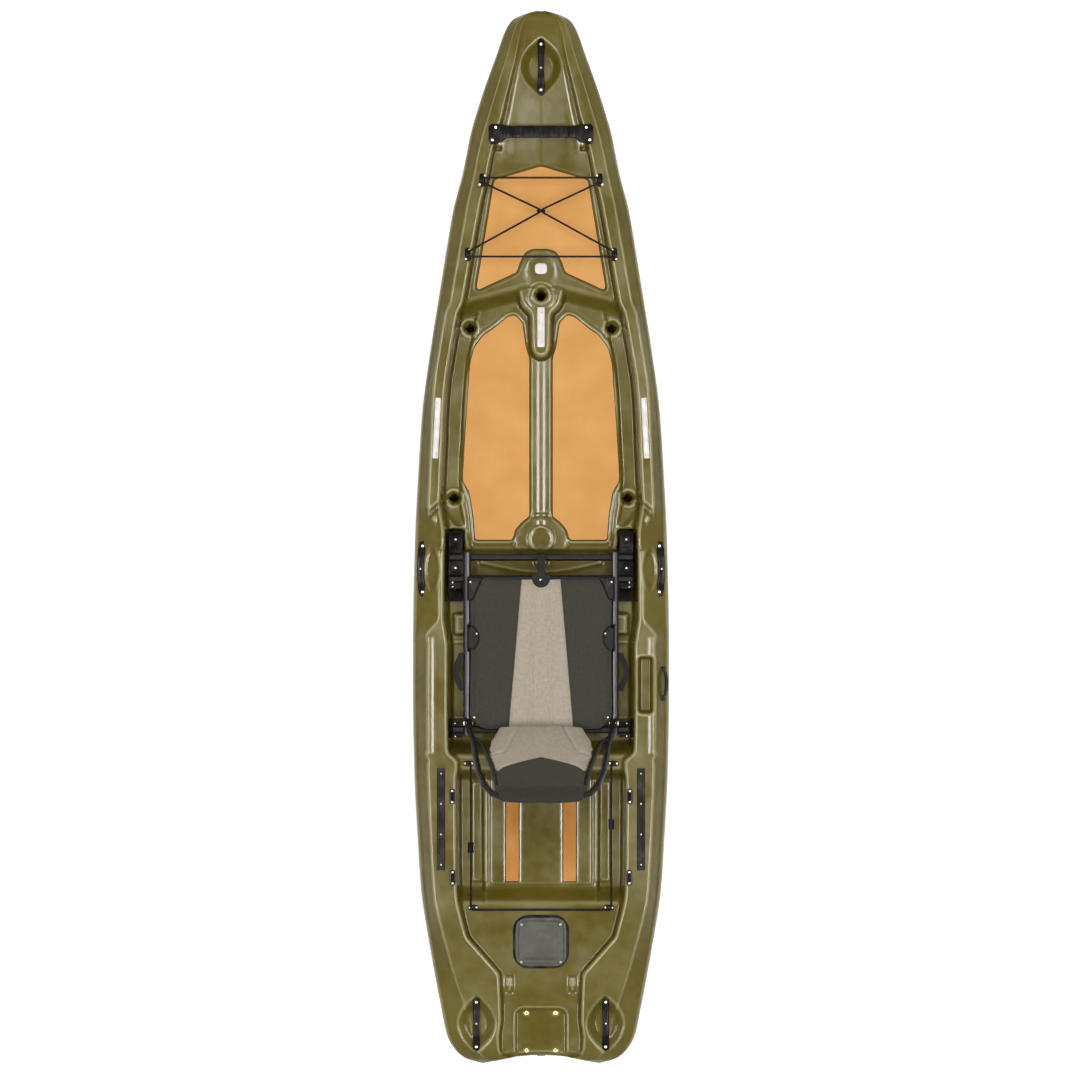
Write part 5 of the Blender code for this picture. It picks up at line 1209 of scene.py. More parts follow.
    def shape_handles(self) -> None:
        """Finger recesses under the side and stern handles."""
        for side in (-1, 1):
            x = side * (float(self.wall_line(-2.75)) + 0.040)
            self.press(lens(0.021, 0.072, (x, -2.75 * STATION)), None, 0.018, by=-0.010)
            place = (side * 25.1 * BUTTOCK, -46.0 * STATION)
            bowl = lens(0.050, 0.083, place, side * 0.03)
            self.press(bowl, None, 0.034, by=-0.030)

    def soften(self) -> None:
        """Round every edge by the radius that powder leaves in a mould."""
        for axis, pitch in ((0, 3.53 / (self.rows - 1)), (1, 0.80 / (self.columns - 1))):
            spread = self.blend / pitch
            reach = np.arange(-3, 4)
            kernel = np.exp(-0.5 * (reach / spread) ** 2)
            kernel /= kernel.sum()
            pad = [(3, 3) if k == axis else (0, 0) for k in range(2)]
            wide = np.pad(self.z, pad, mode="edge")
            length = self.z.shape[axis]
            self.z = sum(weight * wide.take(range(i, i + length), axis) for i, weight in enumerate(kernel))

    def belly_rows(self) -> np.ndarray:
        """The bottom of each section, from starboard rim round the keel to port rim.

        Returns:
            The rows of points.
        """
        keel = read_curve(KEEL, self.s, 0.02)
        tunnel = read_curve(TUNNEL, self.s, 0.05)
        rim = self.z[:, 0]
        depth = rim - keel
        share = np.array([1.0, .99, .955, .81, .58, .37, .26, 0.0])
        drop = np.array([1.0, .75, .40, .12, 0, 0, 0, 0])
        rise = np.array([0, 0, 0, 0, 0, 0, .8, 1.0])
        t = np.linspace(0, 7, (self.belly + 1) // 2)
        smooth = [smooth_line(np.column_stack((np.arange(8), v)), len(t))[:, 1] for v in (share, drop, rise)]
        side = np.clip(smooth[0], 0, 1)
        height = keel[:, None] + depth[:, None] * np.clip(smooth[1], 0, 1) + tunnel[:, None] * smooth[2]
        across = self.half[:, None] * side
        x = np.concatenate((across[:, 1:], -across[:, ::-1][:, 1:-1]), 1)
        z = np.concatenate((height[:, 1:], height[:, ::-1][:, 1:-1]), 1)
        hollow = self.stern_dish * np.clip(1 - (x / (0.23 * 2 * HALF_BEAM)) ** 2, 0, None)
        hollow *= np.clip((-self.s[:, None] - 45) / 5, 0, 1)
        return np.stack((x, self.s[:, None] * STATION + hollow, np.maximum(z, 0.0)), 2)

    def build(self, finishes: Finishes) -> bpy.types.Object:
        """Shape, soften and mesh the hull.

        Args:
            finishes: every finish of the kayak.

        Returns:
            The new object.
        """
        for step in (self.shape_bow, self.shape_console, self.shape_standing, self.shape_seat_well,
                     self.shape_rear, self.shape_handles):
            step()
        edges = self.z[:, [0, -1]].copy()
        self.soften()
        self.z[:, [0, -1]] = edges
        for number in range(1, 5):
            low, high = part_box(f"rear_insert_{number}")
            near = np.hypot(self.x - (low.x + high.x) / 2, self.y - (low.y + high.y) / 2) < 0.0085
            self.z[near] = np.minimum(self.z[near], high.z - 0.0012)
        top = np.stack((self.x, self.y, self.z), 2)
        ring = np.concatenate((top, self.belly_rows()), 1)
        rows, wide = ring.shape[:2]
        index = np.arange(rows * wide).reshape(rows, wide)
        a, b = index[:-1], index[1:]
        quads = np.stack((a, np.roll(a, -1, 1), np.roll(b, -1, 1), b), 2).reshape(-1, 4)
        rings = []
        for share in self.stern_shares:
            x = ring[0][:, 0] * share
            z = self.stern_middle + (ring[0][:, 2] - self.stern_middle) * share
            dish = self.stern_dish * np.clip(1 - (x / (0.46 * HALF_BEAM)) ** 2, 0, None)
            rings.append(np.column_stack((x, dish - 50 * STATION, z)))
        count = len(self.stern_shares)
        face = np.vstack((index[0], np.arange(count * wide).reshape(count, wide) + rows * wide))
        a, b = face[1:], face[:-1]
        stern = np.stack((a, np.roll(a, -1, 1), np.roll(b, -1, 1), b), 2).reshape(-1, 4)
        mesh = bpy.data.meshes.new("hull_shell")
        faces = [*quads.tolist(), *stern.tolist(), face[-1].tolist(), index[-1][::-1].tolist()]
        points = np.concatenate((ring.reshape(-1, 3), *rings))
        mesh.from_pydata(points.tolist(), [], faces)
        mesh.materials.append(finishes.hull)
        mesh.update()
        return place_piece("hull_shell", mesh, self.body, ("hull",), 50)


# Foam, tracks and deck fittings

@dataclass
class FoamPads:
    """Cut foam sheets stuck on the deck, each with its darker core showing at the edge."""

    hull: HullShell
    thickness: float = 0.0050
    edge: float = 0.0026
    pitch: float = 0.018
    body: str = "hull_body"

    def sheet(self, name: str, outline: np.ndarray, face: bpy.types.Material,
              core: bpy.types.Material) -> None:
        """Lay one sheet over the deck inside an outline.

        Args:
            name: its CAD node's name.
            outline: closed outline in metres.
            face: the finish of its face.
            core: the finish of its edge.
        """
        outline = resample(anticlockwise(outline), 0.006)
        rings = [outline, outline, inset(outline, self.edge * 0.55), inset(outline, self.edge)]
        lifts = (0.0, self.thickness - 0.0022, self.thickness - 0.0006, self.thickness)
        low, high = outline.min(0), outline.max(0)
        grid_x, grid_y = np.meshgrid(np.arange(low[0], high[0], self.pitch),
                                     np.arange(low[1], high[1], self.pitch))
        keep = inside(rings[-1], grid_x, grid_y) > self.pitch * 0.45
        inner = np.column_stack((grid_x[keep], grid_y[keep]))
        flat = np.vstack((rings[-1], inner))
        count = len(outline)
        loop = [(i, (i + 1) % count) for i in range(count)]
        found = delaunay_2d_cdt([Vector(p) for p in flat], loop, [], 1, 1e-5)
        shape = Shape()

        def raised(points: np.ndarray, lift: float) -> np.ndarray:
            """The points laid on the deck and lifted off it."""
            return np.array([(x, y, self.hull.deck_at(x, y) + lift) for x, y in points])

        shape.grid([raised(ring, lift) for ring, lift in zip(rings, lifts)], [1, 1, 1], caps=False)
        first = shape.add(raised(np.array([tuple(v) for v in found[0]]), self.thickness))
        for face_loop in found[2]:
            shape.faces.append(tuple(first + i for i in face_loop))
            shape.slots.append(0)
        item = shape.put(name + "_sheet", [face, core], self.body, (name,), 50)

    def build(self, finishes: Finishes) -> None:
        """Lay the front pad, the two standing pads and the two tankwell strips.

        Args:
            finishes: every finish of the kayak.
        """
        front = rounded(mirrored(FRONT_PAD, BUTTOCK, STATION), 0.010)
        self.sheet("front_deck_pad", front, finishes.foam, finishes.foam_edge)
        for name, side in SIDES:
            stand = rounded(np.array(STANDING_PAD) * (side * BUTTOCK, STATION), 0.010)
            self.sheet(f"standing_pad_{name}", stand, finishes.foam, finishes.foam_edge)
            strip = box_outline(0.024, 0.1641, 0.004, (side * 0.0966, -28.05 * STATION))
            self.sheet(f"tankwell_pad_{name}", strip, finishes.foam_rear, finishes.foam_edge)


@dataclass
class GearTracks:
    """Slotted rails that take sliding mounts, each held down by screws in its slot."""

    hull: HullShell
    height: float = 0.010
    slot_width: float = 0.009
    body: str = "hull_body"

    def rail(self, name: str, start: Point, end: Point, width: float, face: bpy.types.Material,
             steel: bpy.types.Material, stops: int) -> None:
        """One rail from start to end at its foot, with a lipped slot along it.

        Args:
            name: its CAD node's name.
            start: one end, at its foot.
            end: the other end, at its foot.
            width: its width in metres.
            face: the finish of its face.
            steel: the finish of its screws.
            stops: how many screws hold it.
        """
        a, b = np.array(start), np.array(end)
        along = (b - a) / np.linalg.norm(b - a)
        across = np.array((along[1], -along[0], 0.0))
        half, lip = width / 2, self.slot_width / 2
        top, sill = self.height, self.height * 0.42
        section = ((-half, 0.0), (-half, top * 0.72), (-half + 0.002, top), (-lip - 0.0012, top),
                   (-lip, top - 0.0010), (-lip, sill + 0.002), (-lip - 0.001, sill), (lip + 0.001, sill),
                   (lip, sill + 0.002), (lip, top - 0.0010), (lip + 0.0012, top), (half - 0.002, top),
                   (half, top * 0.72), (half, 0.0))
        shape = Shape()
        length = np.linalg.norm(b - a)
        stations = [(0.0, 0.62), (0.003, 0.88), (0.008, 1.0), (length - 0.008, 1.0), (length - 0.003, 0.88),
                    (length, 0.62)]
        rows = [np.array([a + along * at + across * x * (0.75 + 0.25 * k) + (0, 0, z * (0.8 + 0.2 * k))
                          for x, z in section]) for at, k in stations]
        shape.grid(rows)
        cap = self.slot_width / 2 + 0.0015
        for at in (0.005, length - 0.005):
            foot = a + along * at + (0, 0, sill)
            block = box_outline(cap, 0.0045, 0.001, tuple(foot[:2]), math.atan2(-along[0], along[1]))
            shape.slab(block, [(0, foot[2]), (0, a[2] + top - 0.0004), (0.0006, a[2] + top)], 0)
        for i in range(stops):
            at = 0.018 + (length - 0.036) * i / max(1, stops - 1)
            centre = a + along * at + (0, 0, sill)
            shape.screw(tuple(centre), radius=0.0036, slot=1)
        shape.put(name + "_rail", [face, steel], self.body, (name,), 35)

    def build(self, finishes: Finishes) -> None:
        """Two side rails, the centre rail and the two long rear rails.

        Args:
            finishes: every finish of the kayak.
        """
        for name, side in SIDES:
            low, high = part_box(f"gear_track_side_{name}")
            inner = min(abs(low.x), abs(high.x)) + 0.011
            outer = max(abs(low.x), abs(high.x)) - 0.011
            self.rail(f"gear_track_side_{name}", (side * outer, low.y + 0.001, low.z),
                      (side * inner, high.y - 0.001, low.z), 0.0195, finishes.white,
                      finishes.steel, 3)
            low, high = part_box(f"gear_track_rear_{name}")
            middle = (low.x + high.x) / 2
            self.rail(f"gear_track_rear_{name}", (middle, low.y, low.z), (middle, high.y, low.z), 0.0265,
                      finishes.track, finishes.steel, 4)
        low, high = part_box("gear_track_centre")
        self.rail("gear_track_centre", (0, low.y, low.z), (0, high.y, low.z), 0.0258, finishes.white,
                  finishes.steel, 2)


@dataclass
class DeckFittings:
    """Hooks, pad eyes, the bow strap, handles, hatch, badge plate and inserts on the hull."""

    hull: HullShell
    body: str = "hull_body"

    def hook(self, name: str, finishes: Finishes, bolts: tuple[tuple[float, float], ...]) -> None:
        """A lashing hook: an oval foot, a post with a mushroom head, and its screws.

        Args:
            name: its CAD node's name.
            finishes: every finish of the kayak.
            bolts: where its screws stand, from its middle.
        """
        low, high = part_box(name)
        half_x, half_y = (high.x - low.x) / 2, (high.y - low.y) / 2
        centre = ((high.x + low.x) / 2, (high.y + low.y) / 2)
        foot = low.z + 0.0004
        shape = Shape()
        outline = resample(box_outline(half_x, half_y, min(half_x, half_y) * 0.95, centre), 0.003)
        shape.slab(outline, [(0, foot), (0, foot + 0.0035), (0.0012, foot + 0.0050), (0.0030, foot + 0.0056)])
        top = high.z
        post = 0.0042
        profile = ((post + 0.0022, foot + 0.005), (post, foot + 0.0075), (post, top - 0.0042),
                   (post + 0.0030, top - 0.0030), (post + 0.0032, top - 0.0014), (post + 0.001, top - 0.0002),
                   (0.0, top))
        shape.lathe(profile, (*centre, 0.0), sides=20)
        for x, y in bolts:
            shape.screw((centre[0] + x, centre[1] + y, foot + 0.0054), radius=0.0044)
        shape.put(name + "_moulded", [finishes.nylon, finishes.steel], self.body, (name,), 40)

    def pad_eye(self, name: str, finishes: Finishes) -> None:
        """A pad eye: an oval base with a loop across it and a screw at each end.

        Args:
            name: its CAD node's name.
            finishes: every finish of the kayak.
        """
        low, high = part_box(name)
        x, y = (low.x + high.x) / 2, (low.y + high.y) / 2
        half_x, half_y = (high.x - low.x) / 2, (high.y - low.y) / 2
        foot = low.z + 0.0003
        shape = Shape()
        outline = resample(box_outline(half_x, half_y, half_x * 0.95, (x, y)), 0.003)
        shape.slab(outline, [(0, foot), (0, foot + 0.0025), (0.0010, foot + 0.0040), (0.0035, foot + 0.0046)])
        turns = np.linspace(0, math.pi, 14)
        reach = 0.0135
        rise = high.z - foot - 0.0070
        arch = np.array([(x, y - reach * math.cos(t),
                          foot + 0.0035 + rise * math.sin(t) ** 0.8) for t in turns])
        shape.tube(arch, 0.0032, 12)
        for end in (-1, 1):
            shape.screw((x, y + end * (half_y - 0.0078), foot + 0.0044), radius=0.0046)
        shape.put(name + "_moulded", [finishes.nylon, finishes.steel], self.body, (name,), 40)

    def gear_strap(self, finishes: Finishes) -> None:
        """The ribbed rubber strap across the bow, with flared end plates and four screws.

        Args:
            finishes: every finish of the kayak.
        """
        low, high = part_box("bow_gear_strap")
        middle = 38.35 * STATION
        xs = np.linspace(-0.1745, 0.1745, 121)
        rows = []
        for x in xs:
            flare = float(ease(np.array((abs(x) - 0.105) / 0.05)))
            back = middle - 0.0135 - 0.0215 * flare
            ahead = middle + 0.0255 + 0.0065 * flare
            tip = float(ease(np.array((abs(x) - 0.166) / 0.009)))
            back += 0.010 * tip
            ahead -= 0.008 * tip
            rib = 0.0018 * math.cos(math.tau * x / 0.0340) * (1 - flare)
            dip = 0.0045 * max(0.0, 1 - (x / 0.15) ** 2)
            top = high.z - 0.0035 - dip + rib
            foot = high.z - 0.0095 - dip
            rows.append(np.array([(x, back, foot), (x, back, top - 0.0022), (x, back + 0.0015, top - 0.0006),
                                  (x, back + 0.005, top), (x, ahead - 0.005, top),
                                  (x, ahead - 0.0015, top - 0.0006),
                                  (x, ahead, top - 0.0022), (x, ahead, foot)]))
        shape = Shape()
        shape.grid(rows)
        for side in (-1, 1):
            for x, y in ((0.151, 1.374), (0.1625, 1.3325)):
                shape.screw((side * x, y, high.z - 0.0040), radius=0.0050)
        shape.put("bow_gear_strap_ribbed", [finishes.rubber, finishes.steel], self.body,
                  ("bow_gear_strap",), 40)

    def handle(self, name: str, start: Point, end: Point, width: float, thickness: float, rise: float,
               bow: float, finishes: Finishes, studs: tuple[float, ...]) -> None:
        """A carry handle: a flat moulded grip with screwed feet that bows up and outwards.

        Args:
            name: its CAD node's name.
            start: one end, at its foot.
            end: the other end, at its foot.
            width: its width in metres.
            thickness: its thickness in metres.
            rise: how far the grip lifts.
            bow: how far it bows outwards.
            finishes: every finish of the kayak.
            studs: where its screws are, as shares of its length.
        """
        a, b = np.array(start), np.array(end)
        along = (b - a) / np.linalg.norm(b - a)
        across = np.array((along[1], -along[0], 0.0))
        across /= np.linalg.norm(across)
        if across[0] * (a[0] + b[0]) < 0:
            across = -across
        shape = Shape()
        rows = []
        for t in np.linspace(0, 1, 41):
            lift = rise * ease(np.array((0.5 - abs(t - 0.5)) / 0.30))
            out = bow * (1 - (2 * t - 1) ** 2)
            ends = 1 - 0.75 * max(0.0, (abs(t - 0.5) - 0.46) / 0.04) ** 2
            grip = 1.0 - 0.14 * math.cos(math.tau * (t - 0.5)) * (abs(t - 0.5) < 0.38)
            half = width / 2 * ends * grip
            thick = thickness * (1.0 + 0.35 * math.sin(math.pi * t) ** 2)
            centre = a + (b - a) * t + across * out + (0, 0, float(lift))
            turns = np.arange(16) * math.tau / 16
            section = [centre + across * half * math.copysign(abs(math.cos(q)) ** 0.6, math.cos(q))
                       + np.array((0, 0, thick / 2 + thick / 2 * math.copysign(abs(math.sin(q)) ** 0.8,
                                                                              math.sin(q))))
                       for q in turns]
            rows.append(np.array(section))
        shape.grid(rows)
        for t in studs:
            lift = float(rise * ease(np.array((0.5 - abs(t - 0.5)) / 0.30)))
            out = bow * (1 - (2 * t - 1) ** 2)
            thick = thickness * (1.0 + 0.35 * math.sin(math.pi * t) ** 2)
            centre = a + (b - a) * t + across * out + (0, 0, lift + thick * 0.96)
            shape.screw(tuple(centre), radius=0.0052 if abs(t - 0.5) > 0.1 else 0.0034)
        shape.put(name + "_moulded", [finishes.rubber, finishes.steel], self.body,
                  (name,), 45)

    def handles(self, finishes: Finishes) -> None:
        """The five carry handles.

        Args:
            finishes: every finish of the kayak.
        """
        low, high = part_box("bow_handle")
        self.handle("bow_handle", (0, low.y, low.z + 0.004), (0, high.y, low.z + 0.004), 0.023,
                    0.006, 0.014, 0.0,
                    finishes, (0.09, 0.47, 0.90))
        for name, side in SIDES:
            low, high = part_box(f"side_handle_{name}")
            inner = min(abs(low.x), abs(high.x)) + 0.0135
            self.handle(f"side_handle_{name}", (side * inner, low.y, low.z + 0.001),
                        (side * inner, high.y, low.z + 0.001), 0.025, 0.006, 0.010, 0.010, finishes,
                        (0.09, 0.5, 0.91))
            low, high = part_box(f"stern_handle_{name}")
            middle = (low.x + high.x) / 2
            self.handle(f"stern_handle_{name}", (middle, low.y, low.z + 0.003),
                        (middle, high.y, low.z + 0.006),
                        0.0228, 0.006, 0.013, 0.0, finishes, (0.08, 0.53, 0.92))

    def hatch(self, finishes: Finishes) -> None:
        """The screwed hatch cover: a rounded lid with a raised rim, a dished top and four screws.

        Args:
            finishes: every finish of the kayak.
        """
        low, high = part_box("rear_hatch_cover")
        centre = (0.0, (low.y + high.y) / 2)
        half_x, half_y = (high.x - low.x) / 2, (high.y - low.y) / 2
        outline = resample(box_outline(half_x, half_y, 0.044, centre), 0.005)
        top, foot = high.z, low.z
        shape = Shape()
        shape.slab(outline, [(0, foot), (0, top - 0.0035), (0.0012, top - 0.0012), (0.0035, top),
                             (0.0085, top - 0.0001), (0.0110, top - 0.0022), (0.0140, top - 0.0034),
                             (0.0240, top - 0.0036), (0.0262, top - 0.0024), (0.0285, top - 0.0021)])
        for x, y in ((0.068, -1.290), (0.069, -1.416)):
            for side in (-1, 1):
                shape.lathe(((0.0085, top - 0.004), (0.0085, top - 0.0012), (0.0078, top - 0.0006),
                             (0.0, top - 0.0006)),
                            (side * x * 0.96, y, 0.0))
                shape.screw((side * x * 0.96, y, top - 0.0022), radius=0.0046)
        shape.put("rear_hatch_cover_moulded", [finishes.hatch, finishes.steel], self.body,
                  ("rear_hatch_cover",), 30)

    def badge_plate(self, finishes: Finishes) -> None:
        """A bare oval plate set in the console, where the photograph has a badge.

        Args:
            finishes: every finish of the kayak.
        """
        shape = Shape()
        place = (0.0, 0.911)
        outline = resample(box_outline(0.0200, 0.0180, 0.0135, place), 0.003)
        foot = self.hull.deck_at(*place)
        shape.slab(outline, [(0, foot - 0.001), (0, foot + 0.0012), (0.0010, foot + 0.0020),
                             (0.0028, foot + 0.0022),
                             (0.0036, foot + 0.0018)])
        shape.put("console_badge_plate", [finishes.white], self.body, smooth=35)

    def inserts(self, finishes: Finishes) -> None:
        """Four turned brass inserts with threaded bores.

        Args:
            finishes: every finish of the kayak.
        """
        for number in range(1, 5):
            low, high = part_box(f"rear_insert_{number}")
            x, y = (low.x + high.x) / 2, (low.y + high.y) / 2
            r = (high.x - low.x) / 2
            shape = Shape()
            profile = [(r - 0.0004, low.z), (r, low.z + 0.001), (r, high.z - 0.0007), (r - 0.0006, high.z),
                       (0.0037, high.z), (0.0032, high.z - 0.0006)]
            for turn in range(5):
                profile += [(0.0029, high.z - 0.0012 - 0.0012 * turn),
                            (0.0033, high.z - 0.0018 - 0.0012 * turn)]
            profile += [(0.0029, low.z + 0.002), (0.0, low.z + 0.002)]
            shape.lathe(tuple(profile), (x, y, 0.0), sides=28)
            shape.put(f"rear_insert_{number}_turned", [finishes.brass], self.body,
                      (f"rear_insert_{number}",), 35)

    def build(self, finishes: Finishes) -> None:
        """Every fitting in order from bow to stern.

        Args:
            finishes: every finish of the kayak.
        """
        self.gear_strap(finishes)
        for label in ("front", "rear"):
            for name, side in SIDES:
                lean = side * (0.006 if label == "front" else 0.003)
                bolts = ((-lean - side * 0.003, 0.0150), (lean + side * 0.003, -0.0150))
                self.hook(f"bow_hook_{label}_{name}", finishes, bolts)
        for name, side in SIDES:
            self.hook(f"tankwell_hook_front_{name}", finishes, ((side * 0.0115, 0.0), (-side * 0.0115, 0.0)))
            self.hook(f"tankwell_hook_rear_{name}", finishes, ((side * 0.0115, 0.0), (-side * 0.0115, 0.0)))
            self.pad_eye(f"pad_eye_front_{name}", finishes)
            self.pad_eye(f"pad_eye_rear_{name}", finishes)
        self.handles(finishes)
        self.hatch(finishes)
        self.badge_plate(finishes)
        self.inserts(finishes)


# The seat

@dataclass
class SeatCushion:
    """The sling cushion: a crowned, blown pad with a taupe panel, seams and sewn channels."""

    front: float = -0.1165
    rear: float = -0.6420
    half: float = 0.2500
    base: float = 0.3600
    channel: float = 0.34
    body: str = "seat_body"

    def outline(self) -> np.ndarray:
        """The plan of the pad: straight rails, softened corners and a slightly drawn-in front.

        Returns:
            The closed outline in metres.
        """
        wing, hip = self.half - 0.046, self.rear + 0.046
        half = [(0.0, self.rear), (wing, self.rear), (self.half, hip), (self.half - 0.004, -0.36),
                (self.half, self.front), (0.0, self.front - 0.003)]
        corners = mirrored(tuple(half))
        return anticlockwise(resample(rounded(corners, 0.018), 0.008))

    def crown(self, x: float, y: float) -> float:
        """Height of the pad's top before it is blown.

        Args:
            x: place across, in metres.
            y: place along, in metres.

        Returns:
            The height in metres.
        """
        u = abs(x) / self.half
        v = abs((y - (self.front + self.rear) / 2) / ((self.front - self.rear) / 2))
        return self.base + 0.010 + 0.014 * max(0.0, 1 - u ** 3) * max(0.0, 1 - v ** 4)

    def blank(self) -> bpy.types.Object:
        """The pad before it is blown, a little smaller than it ends.

        Returns:
            The blank.
        """
        outline = inset(self.outline(), 0.004)
        shape = Shape()
        rows = [np.column_stack((outline, np.full(len(outline), self.base)))]
        middle = outline.mean(0)
        for share in np.linspace(1.0, 0.04, 13):
            ring = middle + (outline - middle) * share
            rows.append(np.array([(x, y, self.crown(x, y)) for x, y in ring]))
        shape.grid(rows)
        mesh = bpy.data.meshes.new("seat_blank")
        mesh.from_pydata(np.concatenate(shape.points).tolist(), [], shape.faces)
        item = bpy.data.objects.new("seat_blank", mesh)
        bpy.context.scene.collection.objects.link(item)
        return item

    def sew(self, x: float, y: float) -> float:
        """Depth of the seams and sewn channels at a place on the top.

        Args:
            x: place across, in metres.
            y: place along, in metres.

        Returns:
            The depth in metres.
        """
        edge = 0.0531 - 0.0858 * y
        depth = 0.0045 * math.exp(-0.5 * ((abs(x) - edge) / 0.0035) ** 2)
        if abs(x) < edge:
            line = edge * self.channel
            depth += 0.0040 * math.exp(-0.5 * ((abs(x) - line) / 0.0045) ** 2)
        depth += 0.0025 * math.exp(-0.5 * ((abs(x) - (self.half - 0.022)) / 0.003) ** 2)
        return depth

    def build(self, finishes: Finishes) -> bpy.types.Object:
        """Blow the pad, press its seams in and dress it.

        Args:
            finishes: every finish of the kayak.

        Returns:
            The new object.
        """
        blank = self.blank()
        mesh = blow(blank, 0.008, 0.0055)
        for vertex in mesh.vertices:
            p = vertex.co
            if p.z > self.base + 0.004:
                p.z -= self.sew(p.x, p.y)
            p.z = min(p.z, 0.3915)
            p.z = max(p.z, self.base)
        mesh.materials.clear()
        mesh.materials.append(finishes.seat_cloth)
        item = place_piece("seat_cushion_padded", mesh, self.body, ("seat_cushion",), 80)
        return item


@dataclass
class BackCushion:
    """The back cushion: a shield of taupe cloth with charcoal wings and a dark head panel."""

    pivot: tuple[float, float] = (-0.611, 0.395)
    lean: float = math.radians(31)
    thickness: float = 0.020
    body: str = "backrest_body"

    def point(self, x: float, along: float, out: float) -> Point:
        """A place on the leaning back: along it from the pivot, and out of its face.

        Args:
            x: place across, in metres.
            along: distance up the back, in metres.
            out: distance out of its face.

        Returns:
            The place in metres.
        """
        y, z = self.pivot
        return (x, y - along * math.sin(self.lean) + out * math.cos(self.lean),
                z + along * math.cos(self.lean) + out * math.sin(self.lean))

    def half_width(self, along: np.ndarray) -> np.ndarray:
        """Half width of the cushion up its height.

        Args:
            along: distances up the back, in metres.

        Returns:
            The half widths in metres.
        """
        at = (0.022, 0.036, 0.06, 0.11, 0.155, 0.20, 0.26, 0.32, 0.37, 0.40)
        wide = (0.136, 0.147, 0.156, 0.174, 0.1795, 0.1750, 0.1600, 0.1500, 0.1460, 0.1440)
        return np.interp(along, at, wide)

    def blank(self) -> bpy.types.Object:
        """The cushion before it is blown.

        Returns:
            The blank.
        """
        rows = []
        levels = np.linspace(0.026, 0.400, 38)
        u = np.linspace(-1, 1, 29)
        for along in levels:
            half = float(self.half_width(np.array(along))) - 0.003
            front = [self.point(half * k, along, 0.0050 + 0.016 * (1 - abs(k) ** 3) ** 0.8
                                * math.sin(math.pi * (along - 0.018) / 0.42) ** 0.4) for k in u]
            back = [self.point(half * k, along, 0.001) for k in u[::-1]]
            rows.append(np.array(front + back))
        shape = Shape()
        shape.grid(rows)
        mesh = bpy.data.meshes.new("back_blank")
        mesh.from_pydata(np.concatenate(shape.points).tolist(), [], shape.faces)
        item = bpy.data.objects.new("back_blank", mesh)
        bpy.context.scene.collection.objects.link(item)
        return item

    def seams(self, x: float, along: float) -> float:
        """Depth of the sewn lines on the face.

        Args:
            x: place across, in metres.
            along: distance up the back, in metres.

        Returns:
            The depth in metres.
        """
        across = abs(x)
        depth = 0.0035 * math.exp(-0.5 * ((along - 0.231 - 0.38 * across) / 0.004) ** 2)
        flank = 0.070 + 0.30 * (along - 0.03)
        if along < 0.197:
            depth += 0.0045 * math.exp(-0.5 * ((across - flank) / 0.0045) ** 2)
        if across > 0.118:
            depth += 0.0045 * math.exp(-0.5 * ((along - 0.197) / 0.0045) ** 2)
        return depth

    def build(self, finishes: Finishes) -> bpy.types.Object:
        """Blow the cushion, press its seams in and dress it.

        Args:
            finishes: every finish of the kayak.

        Returns:
            The new object.
        """
        mesh = blow(self.blank(), 0.006, 0.005)
        normal = Vector((0.0, math.cos(self.lean), math.sin(self.lean)))
        up = Vector((0.0, -math.sin(self.lean), math.cos(self.lean)))
        root = Vector((0.0, *self.pivot))
        for vertex in mesh.vertices:
            offset = vertex.co - root
            out = offset.dot(normal)
            along = offset.dot(up)
            if out > 0.008:
                out -= self.seams(vertex.co.x, along)
            out = min(max(out, -0.002), 0.0235)
            vertex.co = Vector(self.point(vertex.co.x, along, out))
        mesh.materials.clear()
        mesh.materials.append(finishes.back_cloth)
        item = place_piece("backrest_cushion_padded", mesh, self.body,
                           ("backrest_cushion",), 80)
        return item


@dataclass
class HeadSleeve:
    """The dark cloth sleeve that wraps the hoop above the back cushion."""

    back: BackCushion
    body: str = "backrest_body"

    def build(self, finishes: Finishes) -> None:
        """Loft the sleeve across the hoop, a little slack between its sewn ends.

        Args:
            finishes: every finish of the kayak.
        """
        section = ((0.372, 0.012), (0.388, 0.0195), (0.405, 0.0205), (0.425, 0.0185), (0.440, 0.0135),
                   (0.4475, 0.006), (0.4485, -0.002), (0.4455, -0.009), (0.434, -0.0140), (0.415, -0.0125),
                   (0.395, -0.008), (0.378, -0.003))
        shape = Shape()
        rows = []
        for x in np.linspace(-1, 1, 61):
            end = max(0.0, (abs(x) - 0.86) / 0.14)
            slack = 0.0012 * math.cos(9 * x) * (1 - abs(x))
            ring = []
            for along, out in section:
                reach = 0.150 - 0.20 * (along - 0.372)
                lower = along - 0.012 * abs(x) ** 3 * (along - 0.36) / 0.09
                ring.append(self.back.point(reach * x, lower, out * (1 - 0.55 * end ** 2) + slack))
            rows.append(np.array(ring))
        shape.grid(rows)
        item = shape.put("backrest_head_sleeve", [finishes.charcoal], self.body, smooth=70)


